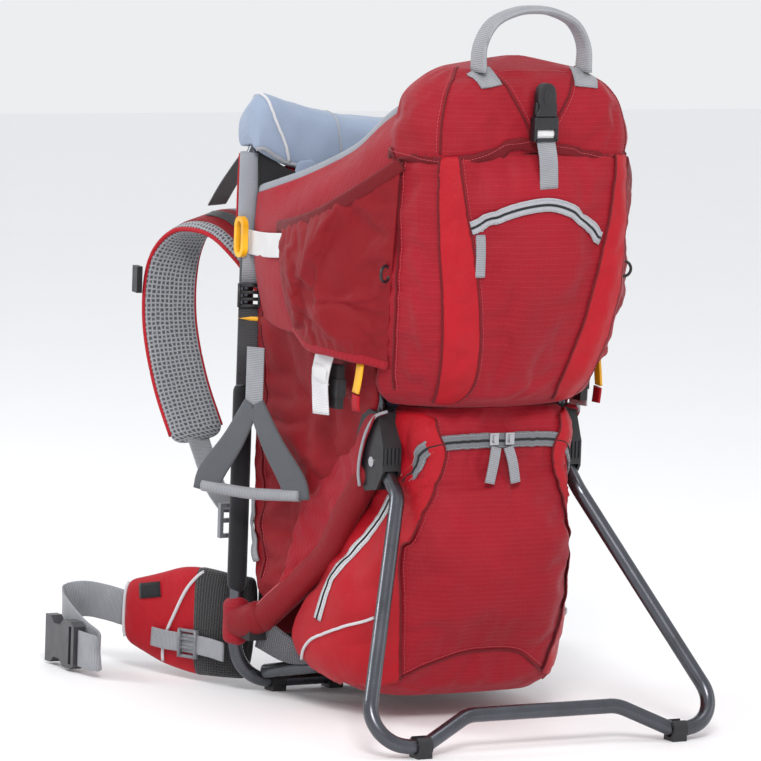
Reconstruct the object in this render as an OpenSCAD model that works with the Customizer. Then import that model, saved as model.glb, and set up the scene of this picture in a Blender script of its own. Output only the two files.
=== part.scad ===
// Child carrier backpack: a tube frame with a folding kickstand, a cockpit for the child,
// a lower bag, an upper bag with a lid, and the wearer's harness and hip belt.
// +Z is up, -Y is the rear with the kickstand, +Y is the wearer's side. Millimetres.
// Shapes are drawn with the back hoop's plane at y = 0, then shifted by place().

/* [Frame] */
// Outside diameter of the frame tubes
tube_d = 15; // [14:0.5:16]
// Wall of the frame tubes
tube_wall = 1.5; // [1.2:0.1:2]
// Half the width of the back hoop, at its centreline
hoop_w = 157; // [150:1:160]
// Height of the hoop's top corners, at the centreline
hoop_top = 600; // [590:1:605]
// Height of the hoop's bottom run, at the centreline
hoop_base = 11; // [10.5:0.5:12]
// Distance from the hoop's plane to the origin's plane
frame_shift = 71; // [60:1:80]

/* [Kickstand] */
// Distance of the kickstand's pivot behind the hoop
pivot_back = 203; // [200:1:206]
// Height of the kickstand's pivot
pivot_z = 267; // [264:1:270]
// Half the distance between the kickstand's pivots
pivot_w = 104.5; // [104:0.5:105]
// Diameter of the hinge pins
pin_d = 6; // [5:0.5:7]
// Angle of the kickstand's top ends from vertical, when open
open_angle = 50; // [48:1:52]
// Travel from open to folded
fold_angle = 50; // [40:1:50]

/* [Bags] */
// Half the width of the upper bag at its side seams
upper_w = 129; // [124:1:130]
// Depth of the upper bag's rear face behind the hoop
upper_back = 314; // [308:1:316]
// Half the width of the lower bag between the hinge blocks
lower_w = 92; // [88:1:93]

/* [Harness] */
// Width of a padded shoulder strap
strap_w = 58; // [50:1:60]
// Width of the hip belt's webbing
belt_w = 38; // [36:1:40]

/* [Hidden] */
$fn = 48;

hoop_bend = 44;
hoop_top_bend = 55;
hoop_joint_z = 330;
hoop_dip = 17;
bore_d = tube_d - 2 * tube_wall;
fit_gap = 0.3;
block_t = 21;
slot_t = tube_d + 0.6;
tongue_r = 10;
tongue_len = 14;
spigot_len = 16;
foot_t = 3.3;
foot_len = 16;
pivot = [-pivot_w, -pivot_back, pivot_z];
RED = "crimson";
BRIGHT = "red";
GREY = "silver";
BLACK = [0.08, 0.08, 0.09];
METAL = [0.3, 0.31, 0.33];

// ---- geometry helpers ----
function unit(v) = v / norm(v);
// A direction in the fold plane, at an angle from straight down towards the rear.
function fold_dir(a) = [0, -sin(a), -cos(a)];
// A smooth curve through points, n steps to each span.
function catmull(p, i, t) = let (
        a = p[max(i - 1, 0)], b = p[i], c = p[i + 1], d = p[min(i + 2, len(p) - 1)])
    0.5 * (2 * b + (c - a) * t + (2 * a - 5 * b + 4 * c - d) * t * t
        + (3 * b - a - 3 * c + d) * t * t * t);
function curve(p, n) = concat(
    [for (i = [0:len(p) - 2]) for (k = [0:n - 1]) catmull(p, i, k / n)], [p[len(p) - 1]]);
function tangent(p, i) = unit(p[min(i + 1, len(p) - 1)] - p[max(i - 1, 0)]);

// Places a left-hand shape, or its mirror image for the right.
module on_side(s) {
    if (s < 0) children();
    else mirror([1, 0, 0]) children();
}
module pair() {
    for (s = [-1, 1]) on_side(s) children();
}
module place() {
    translate([0, frame_shift, 0]) children();
}
// A round rod from p to q.
module rod(p, q, d) {
    v = q - p;
    translate(p) rotate([0, acos(v.z / norm(v)), atan2(v.y, v.x)]) cylinder(h = norm(v), d = d);
}
// The bend at corner b between a and c, of radius r.
module bend(a, b, c, r, d) {
    u = unit(a - b);
    w = unit(c - b);
    half = acos(u * w) / 2;
    centre = b + unit(u + w) * r / sin(half);
    x = unit(b + u * r / tan(half) - centre);
    z = cross(x, -u);
    multmatrix([[x.x, -u.x, z.x, centre.x], [x.y, -u.y, z.y, centre.y], [x.z, -u.z, z.z, centre.z]])
        rotate_extrude(angle = 180 - 2 * half) translate([r, 0]) circle(d = d);
}
function trim(a, b, c, r) = r / tan(acos(unit(a - b) * unit(c - b)) / 2);
// A bar through the points, with a bend of radius radii[i] at each inner one.
// Each straight runs a little way into its bends, which are a hair thicker.
module bent_bar(points, radii, d) {
    n = len(points);
    cut = [for (i = [0:n - 1]) i == 0 || i == n - 1 ? 0
        : trim(points[i - 1], points[i], points[i + 1], radii[i - 1]) - 0.6];
    for (i = [0:n - 2]) {
        u = unit(points[i + 1] - points[i]);
        rod(points[i] + u * cut[i], points[i + 1] - u * cut[i + 1], d);
    }
    for (i = [1:n - 2]) bend(points[i - 1], points[i], points[i + 1], radii[i - 1], d + 0.12);
}
module bent_tube(points, radii) {
    difference() {
        bent_bar(points, radii, tube_d);
        bent_bar(points, radii, bore_d);
    }
}
// A closed solid through rings of points, each ring counter-clockwise seen from the last one.
module loft(rings) {
    n = len(rings);
    m = len(rings[0]);
    sides = [for (i = [0:n - 2]) for (j = [0:m - 1]) let (
            a = i * m + j, b = i * m + (j + 1) % m, c = b + m, e = a + m)
        each [[a, e, c], [a, c, b]]];
    polyhedron([for (r = rings) each r],
        concat(sides, [[for (j = [0:m - 1]) j], [for (j = [0:m - 1]) n * m - 1 - j]]));
}
// A flat band along a path: width w across it, thickness t, with its width near direction across.
module ribbon(path, across, w, t) {
    loft([for (i = [0:len(path) - 1]) let (
            u = tangent(path, i), a = unit(across - (across * u) * u), n = cross(u, a))
        [for (k = [[-1, -1], [1, -1], [1, 1], [-1, 1]]) path[i] + a * k.x * w / 2 + n * k.y * t / 2]]);
}
// A cushion-like block between two corners, with its edges cut back by r.
module pad(lo, hi, r) {
    hull() for (inset = [[0, r, r], [r, 0, r], [r, r, 0]])
        translate(lo + inset) cube(hi - lo - 2 * inset);
}
module plate_xz(points, y, t) {
    translate([0, y + t, 0]) rotate([90, 0, 0]) linear_extrude(t) polygon(points);
}
module plate_yz(points, x, t) {
    translate([x, 0, 0]) rotate([90, 0, 90]) linear_extrude(t) polygon(points);
}
// A right and left outline from its right half, for a plate in the XZ plane.
function both(half) = concat(half, [for (i = [len(half) - 1:-1:0]) [-half[i].x, half[i].y]]);

// ---- frame ----
hoop_lower_path = [[-hoop_w, 0, hoop_joint_z], [-hoop_w, 0, hoop_base], [hoop_w, 0, hoop_base],
    [hoop_w, 0, hoop_joint_z]];
hoop_upper_path = [[-hoop_w, 0, hoop_joint_z + 0.2], [-hoop_w, 0, hoop_top], [0, 0, hoop_top - hoop_dip],
    [hoop_w, 0, hoop_top], [hoop_w, 0, hoop_joint_z + 0.2]];
module main_hoop_lower() {
    color(METAL) bent_tube(hoop_lower_path, [hoop_bend, hoop_bend]);
}
module main_hoop_upper() {
    color(METAL) bent_tube(hoop_upper_path, [hoop_top_bend, 400, hoop_top_bend]);
}
// The plugs inside the hoop where its halves meet.
module frame_ferrules() {
    color(METAL) for (x = [-hoop_w, hoop_w]) translate([x, 0, hoop_joint_z - 25])
        cylinder(h = 50, d = bore_d - 0.1);
}
rear_hoop_y = -pivot_back + 9;
module rear_hoop() {
    foot_z = pivot_z + 41;
    color(METAL) bent_tube([[-pivot_w, rear_hoop_y, foot_z], [-pivot_w, rear_hoop_y, 606],
        [pivot_w, rear_hoop_y, 606], [pivot_w, rear_hoop_y, foot_z]], [40, 40]);
}
bow_w = 118;
module base_bow() {
    color(METAL) bent_tube([[-bow_w - 6, -8, 22], [-bow_w + 14, -94, 42], [bow_w - 14, -94, 42],
        [bow_w + 6, -8, 22]], [38, 38]);
}
strut_top = [-pivot_w, -pivot_back + 20, pivot_z - 12];
strut_mid = [-pivot_w - 10, -116, 158];
strut_foot = [-hoop_w + 9, -28, 72];
module side_strut(s) {
    on_side(s) color(METAL) bent_tube([strut_top, strut_mid, strut_foot], [110]);
}

// ---- hinge blocks and kickstand ----
// A clevis of plastic: the kickstand's tongue turns in its slot, open to the rear and below.
block_profile = [[8, 52], [-8, 50], [-22, 16], [-22, -9], [-10, -27], [12, -31], [30, -22], [33, -8],
    [33, 26], [22, 50]];
rib_count = 5;
module block_slot() {
    outer = 8.4;
    reach = 70;
    a = open_angle;
    b = open_angle - fold_angle;
    function out(g) = [-sin(g), -cos(g)];
    function across(g) = [-cos(g), sin(g)];
    translate([-slot_t / 2, 0, 0]) {
        rotate([90, 0, 90]) linear_extrude(slot_t) polygon([[2, 0], across(a) * outer,
            across(a) * outer + out(a) * reach, out((a + b) / 2) * (reach + 30),
            across(b) * -outer + out(b) * reach, across(b) * -outer]);
        rotate([0, 90, 0]) cylinder(h = slot_t, r = tongue_r + 3);
    }
}
module hinge_block(s) {
    on_side(s) color(BLACK) translate(pivot) difference() {
        union() {
            plate_yz(block_profile, -block_t / 2, block_t);
            for (i = [0:rib_count - 1])
                translate([-block_t / 2 + 1 + i * 4.2, -23.6, -1]) cube([2.2, 3, 17]);
        }
        block_slot();
        rotate([0, 90, 0]) cylinder(h = block_t + 2, d = pin_d, center = true);
        translate([0, 9, 41]) cylinder(h = 20, d = tube_d);
        translate(-pivot) rod(strut_top, strut_mid, tube_d);
    }
}
module hinge_pins() {
    head_t = 1.6;
    color(GREY) pair() translate(pivot) rotate([0, 90, 0]) {
        cylinder(h = block_t, d = pin_d, center = true);
        for (z = [-block_t / 2 - head_t, block_t / 2]) translate([0, 0, z])
            cylinder(h = head_t, d = pin_d + 4);
    }
}
stand_slope = 0.6156;
stand_elbow = pivot + fold_dir(open_angle) * 47;
// A point of the kickstand's plane, from its x and its height.
function on_stand(x, z) = [x, stand_elbow.y - stand_slope * (stand_elbow.z - z), z];
stand_left = [pivot + fold_dir(open_angle) * tongue_len, stand_elbow, on_stand(-205, 19),
    on_stand(-146, 9.4), on_stand(-86, 36)];
stand_path = concat(stand_left, [for (i = [len(stand_left) - 1:-1:0])
    [-stand_left[i].x, stand_left[i].y, stand_left[i].z]]);
stand_bends = [30, 34, 36, 36];
module kickstand_tube() {
    color(METAL) bent_tube(stand_path, concat(stand_bends, [for (i = [3:-1:0]) stand_bends[i]]));
}
// The plastic ends that turn on the hinge pins and plug into the kickstand.
module kickstand_tongues() {
    color(BLACK) pair() translate(pivot) difference() {
        union() {
            rotate([0, 90, 0]) cylinder(h = tube_d, r = tongue_r, center = true);
            rod([0, 0, 0], fold_dir(open_angle) * tongue_len, tube_d);
            rod(fold_dir(open_angle) * tongue_len, fold_dir(open_angle) * (tongue_len + spigot_len),
                bore_d - 0.1);
        }
        rotate([0, 90, 0]) cylinder(h = tube_d + 2, d = pin_d + 0.1, center = true);
    }
}
// A clip-on foot round a tube that runs along X, with its centre at height z.
module foot_clip(z) {
    difference() {
        union() {
            rotate([0, 90, 0]) cylinder(h = foot_len, d = tube_d + 2 * foot_t, center = true);
            translate([-foot_len / 2, -9, -z]) cube([foot_len, 18, z]);
        }
        rotate([0, 90, 0]) cylinder(h = foot_len + 2, d = tube_d + 0.4, center = true);
        translate([-foot_len, -5, 0]) cube([2 * foot_len, 10, 20]);
    }
}
stand_low_z = 11.3;
module kickstand_feet() {
    color(BLACK) for (x = [-146, 146]) translate(on_stand(x, stand_low_z)) foot_clip(stand_low_z);
}
module base_feet() {
    color(BLACK) for (x = [-108, -41, 41, 108]) translate([x, 0, hoop_base]) foot_clip(hoop_base);
}
// The plastic clamps that hold the struts' feet to the hoop.
module strut_clamps() {
    color(BLACK) pair() difference() {
        union() {
            translate([-hoop_w, 0, 60]) cylinder(h = 26, d = tube_d + 8);
            translate([-hoop_w - 3, -37, 60]) cube([22, 30, 26]);
        }
        translate([-hoop_w, 0, 50]) cylinder(h = 50, d = tube_d + 0.2);
        rod(strut_foot + unit(strut_foot - strut_mid) * 3, strut_mid, tube_d + 0.4);
    }
}

// ---- bags ----
// A bag's ring at height z: a flat front, then sides that narrow to a crowned rear face.
function bag_ring(z, front, w_front, side, w_side, rear, w_rear) = [
    [w_front, front, z], [-w_front, front, z], [-w_side, side, z],
    [-w_rear, (side + 2 * rear) / 3, z], [-w_rear * 0.75, rear, z],
    [w_rear * 0.75, rear, z], [w_rear, (side + 2 * rear) / 3, z], [w_side, side, z]];
module lower_bag() {
    color(BRIGHT) loft([
        bag_ring(26, -150, 92, -170, 96, -204, 68),
        bag_ring(38, -122, 120, -156, 118, -214, 76),
        bag_ring(56, -105, 130, -150, 126, -222, 82),
        bag_ring(110, -124, 124, -160, 120, -242, 87),
        bag_ring(170, -170, 106, -186, 106, -254, 88),
        bag_ring(226, -196, lower_w, -208, lower_w, -258, 86),
        bag_ring(300, -196, lower_w, -208, lower_w, -258, 84),
        bag_ring(322, -196, 86, -206, 86, -246, 76)]);
}
module upper_bag() {
    front = -pivot_back - 3;
    color(RED) loft([
        bag_ring(325, front, 98, -214, 98, -246, 58),
        bag_ring(344, front, 108, -222, 106, -276, 70),
        bag_ring(385, front, 116, -236, 113, 14 - upper_back, 82),
        bag_ring(455, front, 124, -250, upper_w, -upper_back, 95),
        bag_ring(548, front, 122, -258, upper_w - 3, -upper_back, 94)]);
}
module lid_pocket() {
    front = -pivot_back - 3;
    color(RED) loft([
        bag_ring(550, front, 118, -256, upper_w - 6, 4 - upper_back, 92),
        bag_ring(590, front, 118, -262, upper_w - 3, -upper_back, 94),
        bag_ring(622, front, 104, -262, upper_w - 14, 2 - upper_back, 88),
        bag_ring(646, -212, 84, -258, 94, 8 - upper_back, 74),
        bag_ring(662, -222, 62, -254, 70, 28 - upper_back, 58),
        bag_ring(672, -234, 36, -252, 44, -272, 38)]);
}
// The cockpit's side walls, each with a pocket in it that is open at the top.
wing_rear = -248;
wing_front = -38;
function wing_x(t, inset) = -(134 + 30 * t + 27 * sin(180 * t) - inset);
function wing_line(inset) = [for (t = [0:0.125:1])
    [wing_x(t, inset), wing_rear + (wing_front - wing_rear) * t]];
function wing_plan(a, b) = concat(wing_line(a), [for (i = [8:-1:0]) wing_line(b)[i]]);
wing_side = [[-38, 412], [-38, 500], [-50, 528], [-112, 524], [-160, 538], [-206, 562], [-250, 600],
    [-250, 345], [-212, 352], [-190, 372], [-105, 372], [-62, 392]];
module side_wing(s) {
    wall = 3;
    pocket = 13;
    depth = 24;
    on_side(s) color(RED) difference() {
        intersection() {
            translate([0, 0, 340]) linear_extrude(270) polygon(wing_plan(0, depth));
            plate_yz(wing_side, -200, 120);
        }
        intersection() {
            translate([0, 0, 392]) linear_extrude(230) polygon(wing_plan(wall, wall + pocket));
            translate([-200, -212, 380]) cube([120, 148, 240]);
        }
        translate([-200, -212, 506]) cube([120, 148, 120]);
        translate([-upper_w - 2, -260, 300]) cube([60, 56, 320]);
        translate(pivot + [0, 9, 0]) cylinder(h = 400, d = tube_d + 2);
    }
}
// The soft pad over the hoop's top, with a channel for the tube.
module chin_pad() {
    top = both([[20, 601], [60, 603], [118, 618], [140, 621], [154, 612], [158, 585], [154, 562]]);
    slot = both([[20, 595], [90, 602], [130, 606], [152, 602], [175, 585], [175, 540]]);
    color("lightsteelblue") difference() {
        plate_xz(top, -32, 66);
        plate_xz(slot, -8.5, 17);
    }
}
// The padded wall in front of the child, and the one behind.
module front_panel() {
    color(BRIGHT) plate_xz(both([[138, 552], [141, 330], [141, 120], [134, 62]]), -28, 14);
}
module rear_panel() {
    color(BRIGHT) plate_xz(both([[74, 590], [84, 560], [84, 350], [80, 250], [70, 236]]), -180, 13);
}
module strut_sleeves() {
    u = unit(strut_mid - strut_top);
    v = unit(strut_mid - strut_foot);
    path = [strut_top + u * 28, strut_mid, strut_foot + v * 18.5];
    color(BRIGHT) pair() difference() {
        bent_bar(path, [110], 27);
        bent_bar([strut_top, strut_mid, strut_foot], [110], tube_d + 0.2);
    }
}
module back_panel() {
    color(BLACK) plate_xz(both([[118, 520], [128, 420], [132, 260], [140, 180], [138, 52], [120, 40]]),
        10, 7);
}
module back_pads() {
    color(BLACK) pair() pad([-104, 17.3, 176], [-24, 38, 338], 8);
}
module lumbar_pad() {
    color(BLACK) pad([-116, 17.3, 34], [116, 46, 166], 12);
}

// ---- child's seat ----
module seat_pad() {
    color(BRIGHT) translate([0, 0, 226]) linear_extrude(16)
        polygon([[-70, -164], [70, -164], [62, -100], [40, -44], [-40, -44], [-62, -100]]);
}
module child_harness() {
    path = curve([[-32, -163, 300], [-34, -162, 380], [-30, -162, 460], [-26, -162, 528]], 4);
    color(BLACK) pair() ribbon(path, [1, 0, 0], 38, 8);
}
module harness_buckle() {
    color(BLACK) {
        translate([-10, -146, 242.3]) cube([20, 3, 24]);
        translate([0, -138, 276]) rotate([90, 0, 0]) cylinder(h = 13, r = 17);
    }
}

// ---- wearer's harness ----
module harness_yoke() {
    color(RED) plate_xz(both([[58, 462], [74, 430], [60, 380], [20, 366]]), 19, 5);
}
strap_path = [[-44, 33, 408], [-88, 44, 418], [-106, 74, 452], [-118, 118, 474], [-131, 164, 468],
    [-143, 192, 430], [-148, 190, 370], [-147, 164, 306], [-143, 122, 246]];
module shoulder_strap(s) {
    on_side(s) color(RED) ribbon(curve(strap_path, 4), [1, -0.1, 0.35], strap_w, 12);
}
module strap_webbing() {
    color(GREY) pair() ribbon(curve([[-143, 112, 234], [-147, 72, 202], [-150, 31, 184]], 4),
        [1, 0, 0], 25, 2);
}
// Ladder locks: frames with a bar, where webbing is drawn tight.
module ladder_lock(w, h, t) {
    difference() {
        translate([-w / 2, -t / 2, -h / 2]) cube([w, t, h]);
        for (z = [-h * 0.38, h * 0.06]) translate([-w / 2 + 4, -t, z]) cube([w - 8, 2 * t, h * 0.32]);
    }
}
module strap_buckles() {
    color(GREY) pair() translate([-150, 26, 176]) ladder_lock(33, 36, 6);
}
module load_lifters() {
    color(BLACK) pair() {
        ribbon(curve([[-124, 135, 493], [-138, 80, 522], [-150, 17, 556]], 4), [1, 0, 0], 20, 2);
        translate([-122, 141, 493]) rotate([70, 0, 10]) rotate_extrude(angle = 360)
            translate([9, 0]) circle(d = 3.5);
    }
}
module chest_slider(s) {
    on_side(s) color(BLACK) translate([-179, 201, 408]) rotate([0, 0, -8])
        translate([-5, -7, -14]) cube([6, 16, 28]);
}

// ---- hip belt ----
// Plan points of the left fin, with its lowest and highest edge at each.
fin_plan = [[-128, 28, 10, 112], [-150, 48, 8, 118], [-166, 78, 8, 120], [-178, 108, 12, 112],
    [-190, 140, 22, 102], [-200, 168, 32, 94]];
fin_t = 15;
module hip_fin(s) {
    rings = [for (i = [0:len(fin_plan) - 1]) let (
            p = fin_plan[i], a = fin_plan[max(i - 1, 0)], b = fin_plan[min(i + 1, 5)],
            u = unit([b.x - a.x, b.y - a.y]), n = [-u.y, u.x] * fin_t / 2)
        [[p.x - n.x, p.y - n.y, p[2]], [p.x - n.x, p.y - n.y, p[3]], [p.x + n.x, p.y + n.y, p[3]],
            [p.x + n.x, p.y + n.y, p[2]]]];
    on_side(s) color(RED) loft(rings);
}
belt_path = [[-201.5, 170, 64], [-210, 194, 66], [-219, 222, 66], [-231, 238, 62], [-244, 228, 55],
    [-250, 196, 46], [-252, 160, 36], [-252, 128, 30], [-257, 113, 27], [-262.5, 126, 27],
    [-263, 150, 27]];
module hip_webbing(s) {
    on_side(s) color(GREY) ribbon(curve(belt_path, 4), [0, 0, 1], belt_w, 2);
}
buckle_at = [-262, 152, 3];
// The buckle's half on the left, with a mouth, waist notches and a bar for the webbing.
module hip_buckle_socket() {
    color([0.25, 0.26, 0.28]) translate(buckle_at) difference() {
        rotate([90, 0, 90]) translate([0, 0, -6]) linear_extrude(13) polygon([[0, 4], [8, 0], [26, 0],
            [34, 7], [48, 7], [56, 0], [68, 0], [68, 50], [56, 50], [48, 43], [34, 43], [26, 50], [8, 50],
            [0, 46]]);
        translate([-3, 34, 9]) cube([7, 40, 32]);
        translate([-10, 6, 5]) cube([20, 6, 40]);
    }
}
module hip_buckle_plug() {
    color([0.25, 0.26, 0.28]) translate([262, 152, 3]) difference() {
        translate([-5, 0, 0]) cube([10, 24, 50]);
        translate([-10, 6, 5]) cube([20, 6, 40]);
    }
    color([0.25, 0.26, 0.28]) translate([262, 152, 3]) for (z = [6, 23, 38])
        translate([-2.5, 24, z]) cube([5, z == 23 ? 24 : 32, z == 23 ? 4 : 6]);
}
fin_strap_path = [[-168, 14, 40], [-178, 62, 40], [-190, 98, 42], [-201, 128, 46]];
module fin_strap(s) {
    on_side(s) color("white") ribbon(curve(fin_strap_path, 4), [0, 0, 1], 22, 2);
}

// ---- cockpit closures, stirrups, handle and small parts ----
module safety_rings() {
    color("gold") pair() translate([-169, -8, 474]) difference() {
        hull() for (z = [-11, 11]) translate([0, 0, z]) rotate([0, 90, 0])
            cylinder(h = 6, r = 10, center = true);
        hull() for (z = [-11, 11]) translate([0, 0, z]) rotate([0, 90, 0])
            cylinder(h = 8, r = 5, center = true);
    }
}
module side_release_buckles() {
    color("gold") pair() translate([-142, -172, 318]) {
        translate([-4, -9, 0]) cube([8, 18, 44]);
        translate([-5, -11, 12]) cube([10, 22, 18]);
    }
}
stirrup_at = [-172, -54, 404];
module stirrup(s) {
    wide = 52;
    bar_z = -186;
    apex_z = -100;
    on_side(s) color("slategray") translate(stirrup_at) rotate([0, 0, -57]) {
        translate([-10, -1, apex_z]) cube([20, 2, -apex_z - 36]);
        rod([-wide, 0, bar_z], [wide, 0, bar_z], 13);
        for (k = [-1, 1]) ribbon([[k * wide, 0, bar_z], [k * 6, 0, apex_z]], [0, 1, 0], 20, 2.5);
    }
}
handle_at = [0, -292, 670];
module carry_handle() {
    arch = curve([[-61, 0, 0], [-55, 1, 22], [-32, 3, 46], [0, 4, 55], [32, 3, 46], [55, 1, 22],
        [61, 0, 0]], 4);
    color(GREY) translate(handle_at) ribbon(arch, [0, 1, 0], 24, 9);
}
lid_buckle_y = -upper_back - 7;
module lid_buckle_socket() {
    color(BLACK) translate([0, lid_buckle_y, 622]) difference() {
        translate([-12, -5, 0]) cube([24, 10, 30]);
        translate([-9, -2.6, -1]) cube([18, 5.2, 24]);
    }
}
module lid_buckle_plug() {
    color(BLACK) translate([0, lid_buckle_y, 598]) {
        difference() {
            translate([-12, -4.5, 0]) cube([24, 9, 23.5]);
            translate([-9, -6, 4]) cube([18, 12, 6]);
        }
        for (x = [-8.4, -1.5, 5.4]) translate([x, -2, 23]) cube([3, 4, 18]);
    }
}
// A zip's slider and the tab that hangs from it; its back lies on the bag at y = 0.
module zip_slider() {
    color(GREY) difference() {
        union() {
            translate([-5, -4.5, -4]) cube([10, 4.2, 12]);
            translate([-1.5, -7, -2]) cube([3, 3, 8]);
        }
        translate([-3, -5.6, -0.6]) rotate([0, 90, 0]) cylinder(h = 6, d = 1.8);
    }
}
module zip_pull(length) {
    color(GREY) difference() {
        union() {
            for (x = [-3.6, 1.9]) translate([x, -6.4, -8]) cube([1.7, 1.6, 8]);
            translate([-3.6, -5.6, -0.6]) rotate([0, 90, 0]) cylinder(h = 7.2, d = 1.6);
            translate([-5, -7.4, -8 - length]) cube([10, 3, length]);
        }
    }
}
// The pocket's zip is an arc that the slider follows about this centre.
zip_arc_r = 111;
zip_arc_z = 422;
pocket_zip_at = [-66, -upper_back, zip_arc_z + sqrt(zip_arc_r * zip_arc_r - 66 * 66)];
bag_zip_at = [9, -258, 292];
module pocket_zip_slider() {
    translate(pocket_zip_at) zip_slider();
}
module pocket_zip_pull() {
    translate(pocket_zip_at) zip_pull(40);
}
module bag_zip_slider(s) {
    translate([s * bag_zip_at.x, bag_zip_at.y, bag_zip_at.z]) zip_slider();
}
module bag_zip_pull(s) {
    translate([s * bag_zip_at.x, bag_zip_at.y, bag_zip_at.z]) zip_pull(36);
}
module cord_loops() {
    color(BLACK) pair() translate([-upper_w - 8, -256, 462]) rotate([90, 0, 30])
        rotate_extrude(angle = 360) translate([8, 0]) circle(d = 3);
}

place() main_hoop_lower();
place() main_hoop_upper();
place() frame_ferrules();
place() rear_hoop();
place() base_bow();
place() side_strut(-1);  // side_strut_left
place() side_strut(1);  // side_strut_right
place() hinge_block(-1);  // hinge_block_left
place() hinge_block(1);  // hinge_block_right
place() hinge_pins();
place() kickstand_tube();
place() kickstand_tongues();
place() kickstand_feet();
place() base_feet();
place() strut_clamps();
place() lower_bag();
place() upper_bag();
place() lid_pocket();
place() side_wing(-1);  // side_wing_left
place() side_wing(1);  // side_wing_right
place() chin_pad();
place() front_panel();
place() rear_panel();
place() strut_sleeves();
place() back_panel();
place() back_pads();
place() lumbar_pad();
place() seat_pad();
place() child_harness();
place() harness_buckle();
place() harness_yoke();
place() shoulder_strap(-1);  // shoulder_strap_left
place() shoulder_strap(1);  // shoulder_strap_right
place() strap_webbing();
place() strap_buckles();
place() load_lifters();
place() chest_slider(-1);  // chest_slider_left
place() chest_slider(1);  // chest_slider_right
place() hip_fin(-1);  // hip_fin_left
place() hip_fin(1);  // hip_fin_right
place() hip_webbing(-1);  // hip_webbing_left
place() hip_webbing(1);  // hip_webbing_right
place() hip_buckle_socket();
place() hip_buckle_plug();
place() fin_strap(-1);  // fin_strap_left
place() fin_strap(1);  // fin_strap_right
place() safety_rings();
place() side_release_buckles();
place() stirrup(-1);  // stirrup_left
place() stirrup(1);  // stirrup_right
place() carry_handle();
place() lid_buckle_socket();
place() lid_buckle_plug();
place() pocket_zip_slider();
place() pocket_zip_pull();
place() bag_zip_slider(-1);  // bag_zip_slider_left
place() bag_zip_slider(1);  // bag_zip_slider_right
place() bag_zip_pull(-1);  // bag_zip_pull_left
place() bag_zip_pull(1);  // bag_zip_pull_right
place() cord_loops();
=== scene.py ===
import math

import bmesh
import bpy
import numpy as np
from mathutils import Matrix, Vector, noise
from mathutils.bvhtree import BVHTree


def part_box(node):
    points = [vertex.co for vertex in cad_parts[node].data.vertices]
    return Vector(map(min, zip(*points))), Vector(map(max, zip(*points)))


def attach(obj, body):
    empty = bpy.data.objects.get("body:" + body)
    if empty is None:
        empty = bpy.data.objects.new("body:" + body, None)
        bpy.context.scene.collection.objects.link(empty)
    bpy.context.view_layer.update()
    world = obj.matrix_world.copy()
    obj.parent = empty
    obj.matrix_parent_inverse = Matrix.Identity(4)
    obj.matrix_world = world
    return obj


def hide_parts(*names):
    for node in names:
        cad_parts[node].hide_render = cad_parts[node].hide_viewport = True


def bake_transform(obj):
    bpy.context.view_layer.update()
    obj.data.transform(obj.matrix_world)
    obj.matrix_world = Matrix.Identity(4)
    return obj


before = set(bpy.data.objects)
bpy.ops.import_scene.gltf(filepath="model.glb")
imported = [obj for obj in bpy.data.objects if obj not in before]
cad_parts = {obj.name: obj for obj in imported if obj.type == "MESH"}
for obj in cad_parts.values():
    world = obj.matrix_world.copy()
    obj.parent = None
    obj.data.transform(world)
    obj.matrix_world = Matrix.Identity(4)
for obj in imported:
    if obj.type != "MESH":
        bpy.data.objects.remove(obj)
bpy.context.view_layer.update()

# Shapes below are given in pack millimetres: x across, y from the back hoop's plane, z up.
hoop_low, hoop_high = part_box("main_hoop_lower")
ORIGIN = np.array([(hoop_low[0] + hoop_high[0]) / 2, (hoop_low[1] + hoop_high[1]) / 2,
    hoop_low[2] - 0.0035])
UP = np.array([0.0, 0.0, 1.0])
X_AXIS, Y_AXIS = (1, 0, 0), (0, 1, 0)
SIDES = {"left": -1, "right": 1}


# ---------------------------------------------------------------- shapes


def pack(points):
    """Pack millimetres as frame metres."""
    return np.asarray(points, float) * 0.001 + ORIGIN


def mirror(points, side):
    """The left side's points, or the same mirrored to the right."""
    flipped = np.array(points, float)
    flipped[..., 0] *= -side
    return flipped


def unit(v):
    v = np.asarray(v, float)
    return v / np.maximum(np.linalg.norm(v, axis=-1, keepdims=True), 1e-12)


def run_of(path):
    """How far along the path each of its points is."""
    return np.r_[0, np.cumsum(np.linalg.norm(np.diff(path, axis=0), axis=1))]


def at(stops, run, path):
    """The path's points at the given stops along it."""
    return np.column_stack([np.interp(stops, run, column) for column in path.T])


def recount(path, count):
    """The same path with another number of points."""
    return at(np.linspace(0, 1, count), np.linspace(0, 1, len(path)), path)


def linked(name, data):
    """A new object in the scene."""
    obj = bpy.data.objects.new(name, data)
    bpy.context.scene.collection.objects.link(obj)
    return obj


def smoothed(obj):
    obj.data.polygons.foreach_set("use_smooth", [True] * len(obj.data.polygons))
    return obj


def spline(points, step):
    """A smooth line through points, at even steps along it. Columns after the third go along."""
    p = np.asarray(points, float)
    p = np.vstack([2 * p[0] - p[1], p, 2 * p[-1] - p[-2]])
    t = np.linspace(0, 1, 12, endpoint=False)[:, None]
    parts = []
    for a, b, c, d in zip(p, p[1:], p[2:], p[3:]):
        parts.append(0.5 * (2 * b + (c - a) * t + (2 * a - 5 * b + 4 * c - d) * t**2 + (3 * b - a - 3 * c +
            d) * t**3))
    fine = np.vstack(parts + [p[-2:-1]])
    run = run_of(fine[:, :3])
    return at(np.linspace(0, run[-1], max(3, int(round(run[-1] / step)) + 1)), run, fine)


def route(points, side=-1, step=0.005):
    """A smooth line in the frame through the left side's points, or mirrored to the right."""
    return spline(pack(mirror(points, side)), step)


def tangents(path):
    return unit(np.gradient(path, axis=0))


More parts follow.
